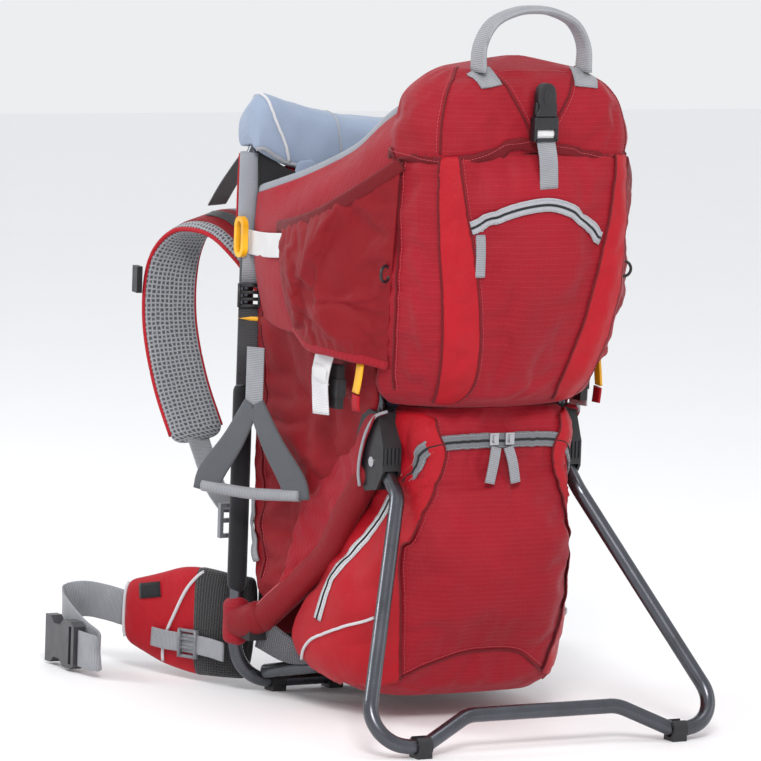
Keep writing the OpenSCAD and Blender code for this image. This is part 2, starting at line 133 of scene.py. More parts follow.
def grid(name, rows, wrap=False, ends=False, flip=False):
    """A mesh through rows of points, with UVs in metres. wrap joins each row into a ring; ends closes it."""
    rows = np.asarray(rows, float)
    n, m = rows.shape[:2]
    ring = np.concatenate([rows, rows[:, :1]], axis=1) if wrap else rows
    u = np.concatenate([np.zeros((n, 1)), np.cumsum(np.linalg.norm(np.diff(ring, axis=1), axis=2), axis=1)],
        axis=1)
    u -= u[:, ring.shape[1] // 2][:, None]
    v = np.r_[0, np.cumsum(np.linalg.norm(np.diff(rows, axis=0), axis=2).mean(axis=1))]
    verts, faces, uvs = [tuple(p) for p in rows.reshape(-1, 3)], [], []
    for i in range(n - 1):
        for j in range(ring.shape[1] - 1):
            k = (j + 1) % m
            faces.append((i * m + j, i * m + k, (i + 1) * m + k, (i + 1) * m + j))
            uvs.append([(u[i, j], v[i]), (u[i, j + 1], v[i]), (u[i + 1, j + 1], v[i + 1]),
                (u[i + 1, j], v[i + 1])])
    if ends:
        for i in (0, n - 1):
            verts.append(tuple(rows[i].mean(axis=0)))
            for j in range(m):
                k = (j + 1) % m
                faces.append((i * m + j, i * m + k, len(verts) - 1))
                uvs.append([(u[i, j], v[i]), (u[i, j + 1], v[i]), (u[i, j], v[i] + 0.02)])
    mesh = bpy.data.meshes.new(name)
    mesh.from_pydata(verts, [], faces)
    layer = mesh.uv_layers.new(name="UVMap")
    layer.data.foreach_set("uv", [x for face in uvs for pair in face for x in pair])
    obj = linked(name, mesh)
    if wrap and ends:
        bm = bmesh.new()
        bm.from_mesh(mesh)
        bmesh.ops.recalc_face_normals(bm, faces=bm.faces)
        bm.to_mesh(mesh)
        bm.free()
    elif flip:
        mesh.flip_normals()
    return smoothed(obj)


def sweep(name, path, width, thick, across, power=6.0, sides=16, taper=0.0):
    """A closed band along path. power 2 is round, 8 nearly square. taper metres at each end grow thinner."""
    path = np.asarray(path, float)
    n = len(path)
    width, thick = np.ones(n) * width, np.ones(n) * thick
    if taper:
        run = run_of(path)
        near = np.minimum(run, run[-1] - run) / taper
        rise = np.sqrt(np.clip(1 - (1 - np.clip(near, 0, 1)) ** 2, 0.02, 1))
        thick, width = thick * rise, width * (0.6 + 0.4 * rise)
    t = tangents(path)
    a = np.ones((n, 3)) * np.asarray(across, float)
    a = unit(a - (a * t).sum(axis=1)[:, None] * t)
    normal = np.cross(t, a)
    angle = np.linspace(0, 2 * math.pi, sides, endpoint=False) + math.pi / sides
    c, s = np.cos(angle), np.sin(angle)
    px, py = np.sign(c) * np.abs(c) ** (2 / power) / 2, np.sign(s) * np.abs(s) ** (2 / power) / 2
    rows = (
        path[:, None]
        + (width[:, None] * px)[:, :, None] * a[:, None]
        + (thick[:, None] * py)[:, :, None] * normal[:, None]
    )
    return grid(name, rows, wrap=True, ends=True)


def piping(name, path, radius):
    """A thin round cord sewn along a seam."""
    t = tangents(path)
    steady = np.where(np.abs(t[:, 2:3]) > 0.9, np.array([[1.0, 0.2, 0.0]]), np.array([[0.0, 0.0, 1.0]]))
    return sweep(name, path, 2 * radius, 2 * radius, steady, power=2, sides=8)


def tree_of(obj):
    """The object's surface, with its modifiers, ready for points to be laid on it."""
    return BVHTree.FromObject(obj, bpy.context.evaluated_depsgraph_get())


def laid(tree, points, lift):
    """The points moved to the nearest place on the surface and lifted off it, and the normals there."""
    flat = np.asarray(points, float).reshape(-1, 3)
    found = [tree.find_nearest(Vector(p)) for p in flat]
    normal = np.array([f[1] for f in found]).reshape(np.shape(points))
    return np.array([f[0] for f in found]).reshape(np.shape(points)) + normal * lift, normal


def shell(obj, thick, offset=1.0):
    m = obj.modifiers.new("thickness", "SOLIDIFY")
    m.thickness, m.offset = thick, offset
    return obj


def strip_on(name, tree, path, width, thick=0.0012, lift=0.0004, columns=4):
    """A flat band that lies on a surface along path."""
    line, normal = laid(tree, path, 0)
    a = unit(np.cross(normal, tangents(line)))
    width = np.ones(len(line)) * width
    share = np.linspace(-0.5, 0.5, columns + 1)
    rows = line[:, None] + (width[:, None] * share)[:, :, None] * a[:, None]
    rows, _ = laid(tree, rows, lift)
    return shell(grid(name, rows, flip=True), thick)


def patch_on(name, tree, edge_a, edge_b, lift=0.0008, thick=0.001, columns=14, step=0.006):
    """A panel that lies on a surface between two edges."""
    a, b = spline(pack(edge_a), step), spline(pack(edge_b), step)
    n = max(len(a), len(b))
    a, b = recount(a, n), recount(b, n)
    share = np.linspace(0, 1, columns + 1)[None, :, None]
    rows, normal = laid(tree, a[:, None] * (1 - share) + b[:, None] * share, lift)
    facing = np.cross(rows[1, 1] - rows[0, 0], rows[0, 1] - rows[0, 0])
    return shell(grid(name, rows, flip=bool((facing * normal[0, 0]).sum() > 0)), thick)


def joined(name, parts):
    """Several objects made into one."""
    bm = bmesh.new()
    bm.loops.layers.uv.new("UVMap")
    for part in parts:
        bm.from_mesh(part.data)
        bpy.data.objects.remove(part)
    mesh = bpy.data.meshes.new(name)
    bm.to_mesh(mesh)
    bm.free()
    return linked(name, mesh)


def stitches(name, path, normal, every=0.0036, length=0.0024, radius=0.00035):
    """A row of thread stitches along path."""
    run = run_of(path)
    verts, faces = [], []
    for start in np.arange(every / 2, run[-1] - length, every):
        ends = [np.array([np.interp(start + d, run, c) for c in path.T]) for d in (0, length)]
        n = unit(np.array([np.interp(start, run, c) for c in np.asarray(normal).T]))
        t = unit(ends[1] - ends[0])
        side = np.cross(n, t)
        base = len(verts)
        for end, pull in ((ends[0], -0.3), (ends[0] + t * length * 0.2, 0.6),
            (ends[1] - t * length * 0.2, 0.6), (ends[1], -0.3)):
            for x, y in ((1, 0), (0, 1), (-1, 0), (0, -1)):
                verts.append(tuple(end + side * radius * x + n * radius * (y + pull)))
        for ring in range(3):
            for k in range(4):
                a, b = base + ring * 4 + k, base + ring * 4 + (k + 1) % 4
                faces.append((a, b, b + 4, a + 4))
        faces += [tuple(base + k for k in (3, 2, 1, 0)), tuple(base + 12 + k for k in range(4))]
    mesh = bpy.data.meshes.new(name)
    mesh.from_pydata(verts, [], faces)
    return linked(name, mesh)


def rounded(corners, count, passes=3):
    """A closed outline with its corners rounded, as count even points."""
    p = np.asarray(corners, float)
    for _ in range(passes):
        nxt = np.roll(p, -1, axis=0)
        p = np.stack([0.75 * p + 0.25 * nxt, 0.25 * p + 0.75 * nxt], axis=1).reshape(-1, p.shape[1])
    loop = np.vstack([p, p[:1]])
    run = run_of(loop)
    stops = np.linspace(0, run[-1], count, endpoint=False)
    return at(stops, run, loop)


def folds(points, normals, height, stretch, seed):
    """Points pushed along their normals by soft creases, whose size in x, y and z is stretch metres."""
    flat = np.asarray(points, float).reshape(-1, 3)
    scale = 1 / np.asarray(stretch, float)
    rise = [noise.noise(Vector(p * scale + seed)) + 0.5 * noise.noise(Vector(p * scale * 2.1 + seed + 7))
        for p in flat]
    return np.asarray(points) + np.asarray(normals) * (np.array(rise) * height).reshape(np.shape(points)[
        :-1] + (1,))


def near_lines(points, lines, reach):
    """How firmly each point is held: 1 on a seam line of either side, falling to 0 at reach metres."""
    seams = np.vstack([route(line, side, 0.004) for side in (-1, 1) for line in lines])
    away = np.array([np.linalg.norm(seams - p, axis=1).min() for p in points])
    return np.clip(1.3 - away / reach, 0, 1)


def settle(obj, held, pressure, slack, cap, frames=18):
    """Lets a cloth simulation find the fabric's creases between the places where it is held.
    slack is how much longer the fabric is than its pattern; cap limits how far a point moves, in metres."""
    rest = np.array([v.co for v in obj.data.vertices])
    group = obj.vertex_groups.new(name="held")
    for index, weight in enumerate(np.round(held, 2)):
        if weight > 0:
            group.add([index], float(weight), "REPLACE")
    cloth = obj.modifiers.new("cloth", "CLOTH")
    c = cloth.settings
    c.quality, c.mass, c.air_damping = 5, 0.12, 2.0
    c.tension_stiffness = c.compression_stiffness = 12
    c.shear_stiffness, c.bending_stiffness = 3, 0.08
    c.tension_damping = c.compression_damping = c.shear_damping = 8
    c.vertex_group_mass, c.pin_stiffness = "held", 1.0
    c.shrink_min = -slack
    c.use_pressure, c.uniform_pressure_force = True, pressure
    c.effector_weights.gravity = 0
    cloth.point_cache.frame_start, cloth.point_cache.frame_end = 1, frames
    for number in range(1, frames + 1):
        bpy.context.scene.frame_set(number)
    made = obj.evaluated_get(bpy.context.evaluated_depsgraph_get()).to_mesh()
    moved = np.array([v.co for v in made.vertices]) - rest
    far = np.linalg.norm(moved, axis=1, keepdims=True)
    moved *= np.minimum(1, cap / np.maximum(far, 1e-9))
    obj.modifiers.remove(cloth)
    obj.vertex_groups.clear()
    bpy.context.scene.frame_set(1)
    obj.data.vertices.foreach_set("co", (rest + moved).ravel())
    obj.data.update()
    return obj


def finish(obj, material, *nodes, body="frame", slot=None, smooth=0):
    """Gives a piece its material and its body, and hides the CAD nodes that it stands for."""
    slot = slot or SLOT_OF[material.name]
    obj.data.materials.clear()
    obj.data.materials.append(material)
    if smooth:
        m = obj.modifiers.new("subdivision", "SUBSURF")
        m.levels = m.render_levels = smooth
    if body:
        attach(obj, body)
    if nodes:
        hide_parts(*nodes)
    return obj


# ---------------------------------------------------------------- materials


class Finish:
    """A principled material that is built up node by node."""

    def __init__(self, name, roughness, metallic=0.0, uv=True):
        self.material = bpy.data.materials.new(name)
        self.material.use_nodes = True
        self.nodes = self.material.node_tree.nodes
        self.shader = self.nodes["Principled BSDF"]
        self.set("Roughness", roughness)
        self.set("Metallic", metallic)
        self.place = self.add("ShaderNodeTexCoord").outputs["UV" if uv else "Object"]
        self.height = None

    def set(self, key, value):
        self.shader.inputs[key].default_value = value

    def add(self, kind, **settings):
        node = self.nodes.new(kind)
        for key, value in settings.items():
            if key in node.inputs:
                if isinstance(value, bpy.types.NodeSocket):
                    self.link(value, node.inputs[key])
                else:
                    node.inputs[key].default_value = value
            else:
                setattr(node, key, value)
        return node

    def link(self, a, b):
        self.material.node_tree.links.new(a, b)

    def noise(self, scale, detail=3.0, stretch=(1, 1, 1)):
        mapped = self.add("ShaderNodeMapping", Vector=self.place, Scale=stretch)
        return self.add("ShaderNodeTexNoise", Vector=mapped.outputs[0], Scale=scale,
            Detail=detail).outputs["Fac"]

    def wave(self, direction, period, distortion=0.0):
        node = self.add("ShaderNodeTexWave", Vector=self.place, Scale=0.31416 / period,
            Distortion=distortion)
        node.bands_direction, node.wave_profile = direction, "SIN"
        return node.outputs["Fac"]

    def math(self, operation, a, b):
        node = self.add("ShaderNodeMath", operation=operation)
        for socket, value in zip(node.inputs, (a, b)):
            if isinstance(value, bpy.types.NodeSocket):
                self.link(value, socket)
            else:
                socket.default_value = value
        return node.outputs[0]

    def between(self, value, low, high, out_low=0.0, out_high=1.0):
        node = self.add("ShaderNodeMapRange")
        self.link(value, node.inputs["Value"])
        for key, number in (("From Min", low), ("From Max", high), ("To Min", out_low),
            ("To Max", out_high)):
            node.inputs[key].default_value = number
        return node.outputs[0]

    def blend(self, share, a, b):
        node = self.add("ShaderNodeMix", data_type="RGBA")
        self.link(share, node.inputs[0])
        for socket, value in ((node.inputs[6], a), (node.inputs[7], b)):
            if isinstance(value, bpy.types.NodeSocket):
                self.link(value, socket)
            else:
                socket.default_value = (*value, 1.0)
        return node.outputs[2]

    def raise_by(self, value, share):
        """Adds to the surface's relief."""
        part = self.math("MULTIPLY", value, share)
        self.height = part if self.height is None else self.math("ADD", self.height, part)

    def done(self, colour, distance, strength=0.6, roughness=None):
        self.link(colour, self.shader.inputs["Base Color"])
        if roughness is not None:
            self.link(roughness, self.shader.inputs["Roughness"])
        bump = self.add("ShaderNodeBump", Strength=strength, Distance=distance)
        self.link(self.height, bump.inputs["Height"])
        self.link(bump.outputs[0], self.shader.inputs["Normal"])
        return self.material


def shade(colour, factor, lift=0.0, top=1.0):
    """The colour made darker or lighter."""
    return tuple(min(top, c * factor + lift) for c in colour)


def linear(r, g, b):
    return tuple((c / 255 / 12.92) if c < 11 else ((c / 255 + 0.055) / 1.055) ** 2.4 for c in (r, g, b))


def fabric(name, colour, sheen, roughness=0.62, grid_step=0.0, weave=0.0007, crease=1.0, dark=0.72):
    """Woven fabric: warp and weft, an optional ripstop grid, soft creases and a bloom at grazing light."""
    f = Finish(name, roughness)
    warp, weft = f.wave("X", weave), f.wave("Y", weave)
    f.raise_by(f.math("MULTIPLY", warp, weft), 0.12)
    f.raise_by(f.noise(55, 4, (1, 1.6, 1)), 1.1 * crease)
    f.raise_by(f.noise(19, 3, (1.7, 0.8, 1)), 1.6 * crease)
    tone = f.between(f.noise(9, 4), 0.3, 0.75)
    colour_out = f.blend(tone, shade(colour, dark), colour)
    thread = f.between(f.noise(900, 2), 0.35, 0.7, 0.0, 0.22)
    colour_out = f.blend(thread, colour_out, shade(colour, 1.3, 0.02))
    if grid_step:
        across = f.between(f.wave("Y", grid_step), 0.93, 1.0)
        down = f.between(f.wave("X", grid_step), 0.97, 1.0, 0.0, 0.4)
        lines = f.math("MAXIMUM", across, down)
        f.raise_by(lines, 0.18)
        colour_out = f.blend(f.math("MULTIPLY", lines, 0.14), colour_out, shade(colour, 1.5, 0.06))
    f.set("Specular IOR Level", 0.22)
    f.set("Sheen Weight", sheen)
    f.set("Sheen Roughness", 0.35)
    f.set("Sheen Tint", (1.0, 0.72, 0.76, 1.0) if colour[0] > 2 * colour[2] else (1, 1, 1, 1))
    rough = f.between(f.noise(30, 3), 0.3, 0.7, roughness - 0.08, roughness + 0.1)
    return f.done(colour_out, 0.0016, 0.55, rough)


def spacer_mesh(name, colour, hole_shade, size, roughness=0.8):
    """Knitted mesh: rounded holes between ridges, with painted shade darkening the holes."""
    f = Finish(name, roughness)
    cells = f.add("ShaderNodeTexVoronoi", Vector=f.place, Scale=1 / size, feature="DISTANCE_TO_EDGE",
        Randomness=0.25)
    ridge = f.between(cells.outputs["Distance"], 0.06, 0.32, 1.0, 0.0)
    f.raise_by(ridge, 1.0)
    f.raise_by(f.noise(40, 3), 0.5)
    tone = f.blend(f.noise(14, 3), shade(colour, 0.75), colour)
    f.set("Sheen Weight", 0.25)
    # Painted shade: the holes between the ridges take the dark hole colour.
    return f.done(f.blend(ridge, hole_shade, tone), 0.0012, 0.8)


def webbing(name, colour, edge=0.6, rib=0.0018):
    """Ribbed strap with a herringbone, painted shade in the grooves between its ribs, and paler worn flecks.
    """
    f = Finish(name, 0.58)
    rib_out = f.wave("Y", rib, distortion=0.6)
    herring = f.wave("DIAGONAL", rib * 1.4)
    f.raise_by(rib_out, 0.7)
    f.raise_by(herring, 0.35)
    f.raise_by(f.noise(60, 2), 0.6)
    # Painted shade: the colour darkens in the grooves between the ribs, where the relief is low; edge sets
    # how dark.
    tone = f.blend(f.between(rib_out, 0.1, 0.8), shade(colour, edge), colour)
    worn = f.blend(f.between(f.noise(35, 4), 0.45, 0.8, 0.0, 0.3), tone, shade(colour, 1.35, 0.03))
    f.set("Sheen Weight", 0.2)
    return f.done(worn, 0.0006, 0.6)


def moulded(name, colour, roughness=0.42, coat=0.0):
    """Moulded plastic: fine spark texture, handling marks, slightly uneven gloss."""
    f = Finish(name, roughness, uv=False)
    f.raise_by(f.noise(1600, 2), 0.35)
    f.raise_by(f.noise(90, 3), 0.4)
    tone = f.blend(f.between(f.noise(40, 4), 0.35, 0.75), shade(colour, 0.8), shade(colour, 1.12))
    scuffed = f.blend(f.between(f.noise(210, 5, (1, 1, 0.3)), 0.62, 0.8, 0.0, 0.25), tone,
        shade(colour, 1.5, 0.04, top=2.0))
    f.set("Coat Weight", coat)
    rough = f.between(f.noise(60, 4), 0.3, 0.75, roughness - 0.08, roughness + 0.12)
    return f.done(scuffed, 0.0004, 0.4, rough)


def metal(name, colour, roughness=0.3, drawn=(1, 1, 1)):
    """Anodised or plated metal with a drawn grain and fine scratches."""
    f = Finish(name, roughness, metallic=0.88, uv=False)
    f.raise_by(f.noise(700, 3, drawn), 0.3)
    tone = f.blend(f.between(f.noise(25, 4), 0.3, 0.75), shade(colour, 0.82), shade(colour, 1.1))
    marks = f.between(f.noise(260, 6, (3, 3, 0.25)), 0.64, 0.78, 0.0, 0.35)
    rough = f.between(f.noise(45, 4), 0.3, 0.75, roughness - 0.06, roughness + 0.12)
    return f.done(f.blend(marks, tone, shade(colour, 1.7, 0.08)), 0.0002, 0.35, rough)


def zip_tape(name, tape, coil):
    """Zip tape with its coil down the middle. The band's own UVs run across it from its middle."""
    f = Finish(name, 0.55)
    split = f.add("ShaderNodeSeparateXYZ", Vector=f.place)
    off = f.math("ABSOLUTE", split.outputs["X"], 0)
    middle = f.between(off, 0.0012, 0.0016, 1.0, 0.0)
    teeth = f.wave("Y", 0.0014)
    f.raise_by(f.math("MULTIPLY", middle, teeth), 1.6)
    f.raise_by(f.wave("Y", 0.0007), 0.2)
    f.raise_by(f.noise(60, 2), 0.4)
    tone = f.blend(f.noise(120, 3), shade(tape, 0.82), shade(tape, 1.1))
    f.set("Sheen Weight", 0.2)
    return f.done(f.blend(middle, tone, coil), 0.0006, 0.7)


CRIMSON = fabric("crimson_ripstop", linear(152, 12, 32), 0.16, grid_step=0.0055)
CRIMSON_PLAIN = fabric("crimson_fabric", linear(132, 8, 22), 0.08, roughness=0.55)
DARK_RED = fabric("dark_red_fabric", linear(108, 6, 18), 0.12, crease=0.7)
BRIGHT = fabric("bright_red_satin", linear(176, 8, 28), 0.05, roughness=0.45, weave=0.0005, crease=1.3)
BLUE_GREY = fabric("blue_grey_brushed", linear(146, 160, 182), 0.35, roughness=0.8, crease=0.8, dark=0.85)
GREY_LINING = fabric("grey_lining", linear(150, 154, 162), 0.3, roughness=0.7)
BLACK_FABRIC = fabric("black_fabric", linear(32, 32, 36), 0.25, roughness=0.7)
# Each mesh's third colour is the painted shade in its holes.
BLACK_MESH = spacer_mesh("black_mesh", linear(34, 34, 38), linear(10, 10, 12), 0.0028)
GREY_MESH = spacer_mesh("grey_mesh", linear(164, 166, 172), linear(66, 68, 74), 0.0048)
DARK_GREY = fabric("dark_grey_fabric", linear(92, 95, 100), 0.25, roughness=0.7)
FINE_MESH = spacer_mesh("fine_grey_mesh", linear(96, 98, 106), linear(40, 40, 46), 0.003)
# In the webbings, edge sets how dark the painted shade in the grooves between the ribs is.
GREY_WEB = webbing("grey_webbing", linear(148, 150, 156))
BLACK_WEB = webbing("black_webbing", linear(40, 40, 44))
WHITE_WEB = webbing("white_webbing", linear(214, 214, 216), edge=0.8)
PIPE_WHITE = webbing("white_piping", linear(206, 206, 210), edge=0.85, rib=0.0012)
PIPE_GREY = webbing("grey_piping", linear(150, 152, 158), edge=0.8, rib=0.0012)
THREAD_RED = webbing("red_thread", linear(190, 60, 74), edge=0.8, rib=0.0006)
THREAD_GREY = webbing("grey_thread", linear(170, 172, 176), edge=0.8, rib=0.0006)
ZIP = zip_tape("grey_zip", linear(164, 166, 172), linear(52, 52, 56))
ZIP_PALE = zip_tape("pale_zip", linear(200, 202, 206), linear(110, 112, 116))
ZIP_DARK = zip_tape("dark_zip", linear(104, 107, 112), linear(30, 30, 34))
BLACK = moulded("black_plastic", linear(30, 30, 33))
ANTHRACITE = moulded("anthracite_plastic", linear(58, 58, 62), 0.38, coat=0.15)
GREY_PLASTIC = moulded("grey_plastic", linear(120, 122, 128), 0.36, coat=0.2)
YELLOW = moulded("yellow_plastic", linear(240, 176, 18), 0.38, coat=0.2)
TUBE = metal("anodised_tube", linear(88, 90, 96), 0.25, (1, 1, 0.2))
STEEL = metal("steel", linear(190, 190, 194), 0.24)

SLOTS = {
    "crimson_fabric": (CRIMSON, CRIMSON_PLAIN, DARK_RED, THREAD_RED),
    "bright_red_fabric": (BRIGHT,),
    "blue_grey_fabric": (BLUE_GREY, GREY_LINING),
    "black_mesh": (BLACK_FABRIC, BLACK_MESH),
    "grey_mesh": (GREY_MESH, FINE_MESH),
    "black_webbing": (DARK_GREY, BLACK_WEB),
    "grey_webbing": (GREY_WEB, WHITE_WEB, PIPE_WHITE, PIPE_GREY),
    "zip_grey": (THREAD_GREY, ZIP, ZIP_PALE, ZIP_DARK),
    "black_plastic": (BLACK, GREY_PLASTIC),
    "yellow_plastic": (YELLOW,),
}
SLOT_OF = {material.name: slot for slot, materials in SLOTS.items() for material in materials}


# ---------------------------------------------------------------- frame, kept as CAD


def hard_parts():
    """The rigid parts keep their CAD shape, with rounded edges and their own finish."""
    finishes = {
        TUBE: ("main_hoop_lower", "main_hoop_upper", "rear_hoop", "base_bow", "side_strut_left",
            "side_strut_right", "kickstand_tube"),
        BLACK: (
            "hinge_block_left", "hinge_block_right", "kickstand_tongues", "kickstand_feet", "base_feet",
                "strut_clamps",
            "frame_ferrules", "side_release_buckles", "chest_slider_left",
            "chest_slider_right", "cord_loops",
        ),
        ANTHRACITE: ("hip_buckle_socket", "hip_buckle_plug", "harness_buckle"),
        GREY_PLASTIC: ("strap_buckles",),
        YELLOW: ("safety_rings",),
        STEEL: ("hinge_pins", "pocket_zip_slider", "bag_zip_slider_left", "bag_zip_slider_right"),
    }
    for material, names in finishes.items():
        for name in names:
            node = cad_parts[name]
            node.data.materials.clear()
            node.data.materials.append(material)
            if material in (BLACK, ANTHRACITE, GREY_PLASTIC, YELLOW) and name != "cord_loops":
                bevel = node.modifiers.new("edges", "BEVEL")
                bevel.width, bevel.segments, bevel.limit_method = 0.0007, 2, "ANGLE"
                bevel.angle_limit = math.radians(35)
                bevel.harden_normals = True


# ---------------------------------------------------------------- bags


def bag_ring(z, front, w_front, side, w_side, rear, w_rear, count=100):
    """One level of a bag: flat towards the child, crowned at the rear."""
    outline = [
        (-w_front, front, z), (-w_side, side * 0.62 + front * 0.38, z), (-w_side, side, z),
            (-w_side * 0.55 - w_rear * 0.45, side * 0.4 + rear * 0.6, z),
        (-w_rear, rear, z), (-w_rear * 0.45, rear - 2, z), (w_rear * 0.45, rear - 2, z), (w_rear, rear, z),
        (w_side * 0.55 + w_rear * 0.45, side * 0.4 + rear * 0.6, z), (w_side, side, z),
            (w_side, side * 0.62 + front * 0.38, z), (w_front, front, z),
    ]
    return rounded(outline, count)


def bag_rows(levels, step=6.0):
    """Levels interpolated smoothly from the bottom to the top, as rings of points."""
    levels = np.asarray(levels, float)
    mixed = spline(levels[:, [0, 0, 0, 1, 2, 3, 4, 5, 6]] * [1, 0, 0, 1, 1, 1, 1, 1, 1], step)
    return [bag_ring(row[0], *row[3:]) for row in mixed]


def capped(rows, drop, rise):
    """Rings that close the bottom and the top of a bag with soft shoulders."""
    first, last = rows[0], rows[-1]
    low = [first.mean(axis=0) + (first - first.mean(axis=0)) * [s, s, 1] + [0, 0,
        -drop * (1 - s)] for s in (0.15, 0.5, 0.8, 0.94)]
    high = [last.mean(axis=0) + (last - last.mean(axis=0)) * [s, s, 1] + [0, 0,
        rise * (1 - s)] for s in (0.94, 0.8, 0.5, 0.15)]
    return low + list(rows) + high


def soft_bag(name, levels, drop, rise, crease, seed, seams, shape=None):
    rows = np.array(capped(bag_rows(levels), drop, rise))
    if shape:
        rows = shape(rows)
    rows = pack(rows)
    centre = rows.mean(axis=1, keepdims=True)
    normal = unit((rows - centre) * [1, 1, 0.2])
    rows = folds(rows, normal, crease, (0.09, 0.09, 0.028), seed)
    rows = folds(rows, normal, crease * 0.6, (0.03, 0.03, 0.12), seed + 3)
    bag = grid(name, rows, wrap=True, ends=True)
    points = np.array([v.co for v in bag.data.vertices])
    held = near_lines(points, seams, 0.012)
    low, high = pack([0, 0, levels[0][0] + 6])[2], pack([0, 0, levels[-1][0]])[2]
    held[(points[:, 2] < low) | (points[:, 2] > high)] = 1
    return settle(bag, held, pressure=3.0, slack=0.05, cap=0.009)


LOWER_LEVELS = [
    (27, -150, 90, -170, 98, -204, 70), (38, -112, 116, -156, 118, -215, 78),
        (54, -80, 126, -146, 127, -224, 84),
    (80, -68, 130, -140, 128, -234, 87), (110, -80, 127, -146, 124, -243, 88),
        (140, -98, 118, -156, 117, -250, 89),
    (172, -120, 110, -172, 109, -256, 89), (202, -142, 103, -186, 95, -256, 86),
        (228, -162, 97, -198, 89, -253, 85),
    (256, -184, 91, -208, 89, -252, 85), (300, -196, 92, -208, 93, -254, 84),
        (324, -196, 86, -206, 86, -242, 76),
]
UPPER_LEVELS = [
    (327, -206, 96, -214, 104, -248, 70), (344, -206, 114, -222, 117, -276, 80),
        (385, -206, 122, -236, 124, -300, 90),
    (455, -206, 126, -250, 131, -316, 99), (548, -206, 124, -258, 129, -315, 98),
        (584, -206, 118, -258, 124, -311, 95),
]
LID_LEVELS = [
    (580, -206, 118, -258, 128, -310, 98), (604, -206, 114, -260, 124, -311, 97),
        (628, -208, 102, -262, 112, -311, 90),
    (646, -212, 84, -260, 94, -305, 76), (660, -222, 64, -256, 72, -290, 58),
]


def lid_hem(rows):
    """The lid's lower edge dips towards the corners and rises at the middle of the back."""
    x = rows[:, :, 0] / 120
    edge = -18 * np.clip(np.abs(x), 0, 0.8) * np.clip((604 - rows[:, :, 2]) / 30, 0, 1.4)
    rows[:, :, 2] += edge + 6
    return rows


BAND_INNER = [(-90, -313, 584), (-84, -314, 540), (-74, -314, 490), (-64, -314, 440), (-54, -304, 388),
    (-50, -284, 352), (-56, -262, 334)]
BAND_OUTER = [(-112, -306, 584), (-110, -308, 540), (-105, -308, 490), (-99, -306, 440), (-92, -296, 388),
    (-84, -276, 352), (-78, -256, 334)]
UPPER_CORNER = [(-125, -262, 580), (-128, -264, 520), (-129, -262, 455), (-122, -250, 390),
    (-110, -236, 345)]
LOWER_INNER = [(-74, -256, 318), (-70, -260, 300), (-62, -262, 276), (-76, -262, 240), (-96, -250, 200),
    (-104, -240, 184), (-98, -238, 130), (-92, -232, 80), (-84, -222, 44)]
LOWER_SIDE = [(-89, -206, 258), (-89, -198, 228), (-95, -187, 202), (-107, -172, 172)]
LOWER_ARCH = [(-98, -244, 268), (-87, -252, 284), (-66, -256, 290), (-40, -258, 292), (0, -260, 292)]
LOWER_FOOT = [(-84, -224, 44), (-60, -230, 60), (-17, -234, 72), (0, -235, 73)]
LID_SIDE = [(-104, -300, 584), (-104, -300, 610), (-98, -296, 632), (-84, -284, 650), (-66, -262, 664)]
LID_FLAP = [(-46, -296, 664), (-35, -306, 645), (-24, -315, 627), (-13, -317, 608), (-11, -317, 592)]


def bags():
    lower = soft_bag("lower_bag_shell", LOWER_LEVELS, 4, 6, 0.0022, 11,
        [LOWER_INNER, LOWER_FOOT, LOWER_ARCH, LOWER_SIDE])
    finish(lower, CRIMSON, "lower_bag", smooth=1)
    upper = soft_bag("upper_bag_shell", UPPER_LEVELS, 10, 4, 0.0022, 23,
        [BAND_INNER, BAND_OUTER, UPPER_CORNER])
    finish(upper, CRIMSON, "upper_bag", smooth=1)
    lid = soft_bag("lid_shell", LID_LEVELS, 2, 14, 0.0016, 31, [LID_SIDE, LID_FLAP], lid_hem)
    finish(lid, CRIMSON, "lid_pocket", smooth=1)
    return lower, upper, lid


def seam(name, tree, path, lift=0.0006):
    """A folded seam as a thin ridge, with stitches beside it."""
    line, normal = laid(tree, route(path), lift)
    ridge = sweep(name, line, 0.0026, 0.0014, np.cross(normal, tangents(line)), power=3, sides=8)
    finish(ridge, DARK_RED)
    side = unit(np.cross(normal, tangents(line)))
    beside, up = laid(tree, line + side * 0.004, 0.0006)
    finish(stitches(name + "_stitches", beside, up), THREAD_RED)


def zip_line(name, tree, path, width, tape=ZIP, lift=0.0012):
    """A zip: two tapes and the coil between them, with a stitch row at each edge."""
    path = route(path)
    finish(strip_on(name, tree, path, width, thick=0.0012, lift=lift, columns=6), tape)
    line, normal = laid(tree, path, lift + 0.0016)
    coil = sweep(name + "_coil", line, 0.0018, 0.0016, np.cross(normal, tangents(line)), power=2.5, sides=8)
    finish(coil, BLACK_FABRIC, slot="zip_grey")
    side = unit(np.cross(normal, tangents(line)))
    for tag, sign in (("a", 1), ("b", -1)):
        edge, up = laid(tree, line + side * sign * (width / 2 - 0.0014), lift + 0.0016)
        finish(stitches(f"{name}_stitch_{tag}", edge, up), THREAD_GREY)


def upper_details(upper):
    tree = tree_of(upper)
    for side, s in SIDES.items():
        inner, outer = mirror(BAND_INNER, s), mirror(BAND_OUTER, s)
        finish(patch_on(f"upper_band_{side}", tree, inner, outer, lift=0.0012, thick=0.0012), BRIGHT)
        for tag, edge in (("inner", inner), ("outer", outer)):
            seam(f"upper_band_{side}_{tag}", tree, edge, lift=0.002)
        seam(f"upper_side_seam_{side}", tree, mirror(UPPER_CORNER, s))
    zip_line("pocket_zip", tree, [(-78, -330, 512), (-56, -330, 523), (-25, -330, 532), (10, -330, 535),
        (42, -330, 524), (72, -330, 500)], 0.0135)


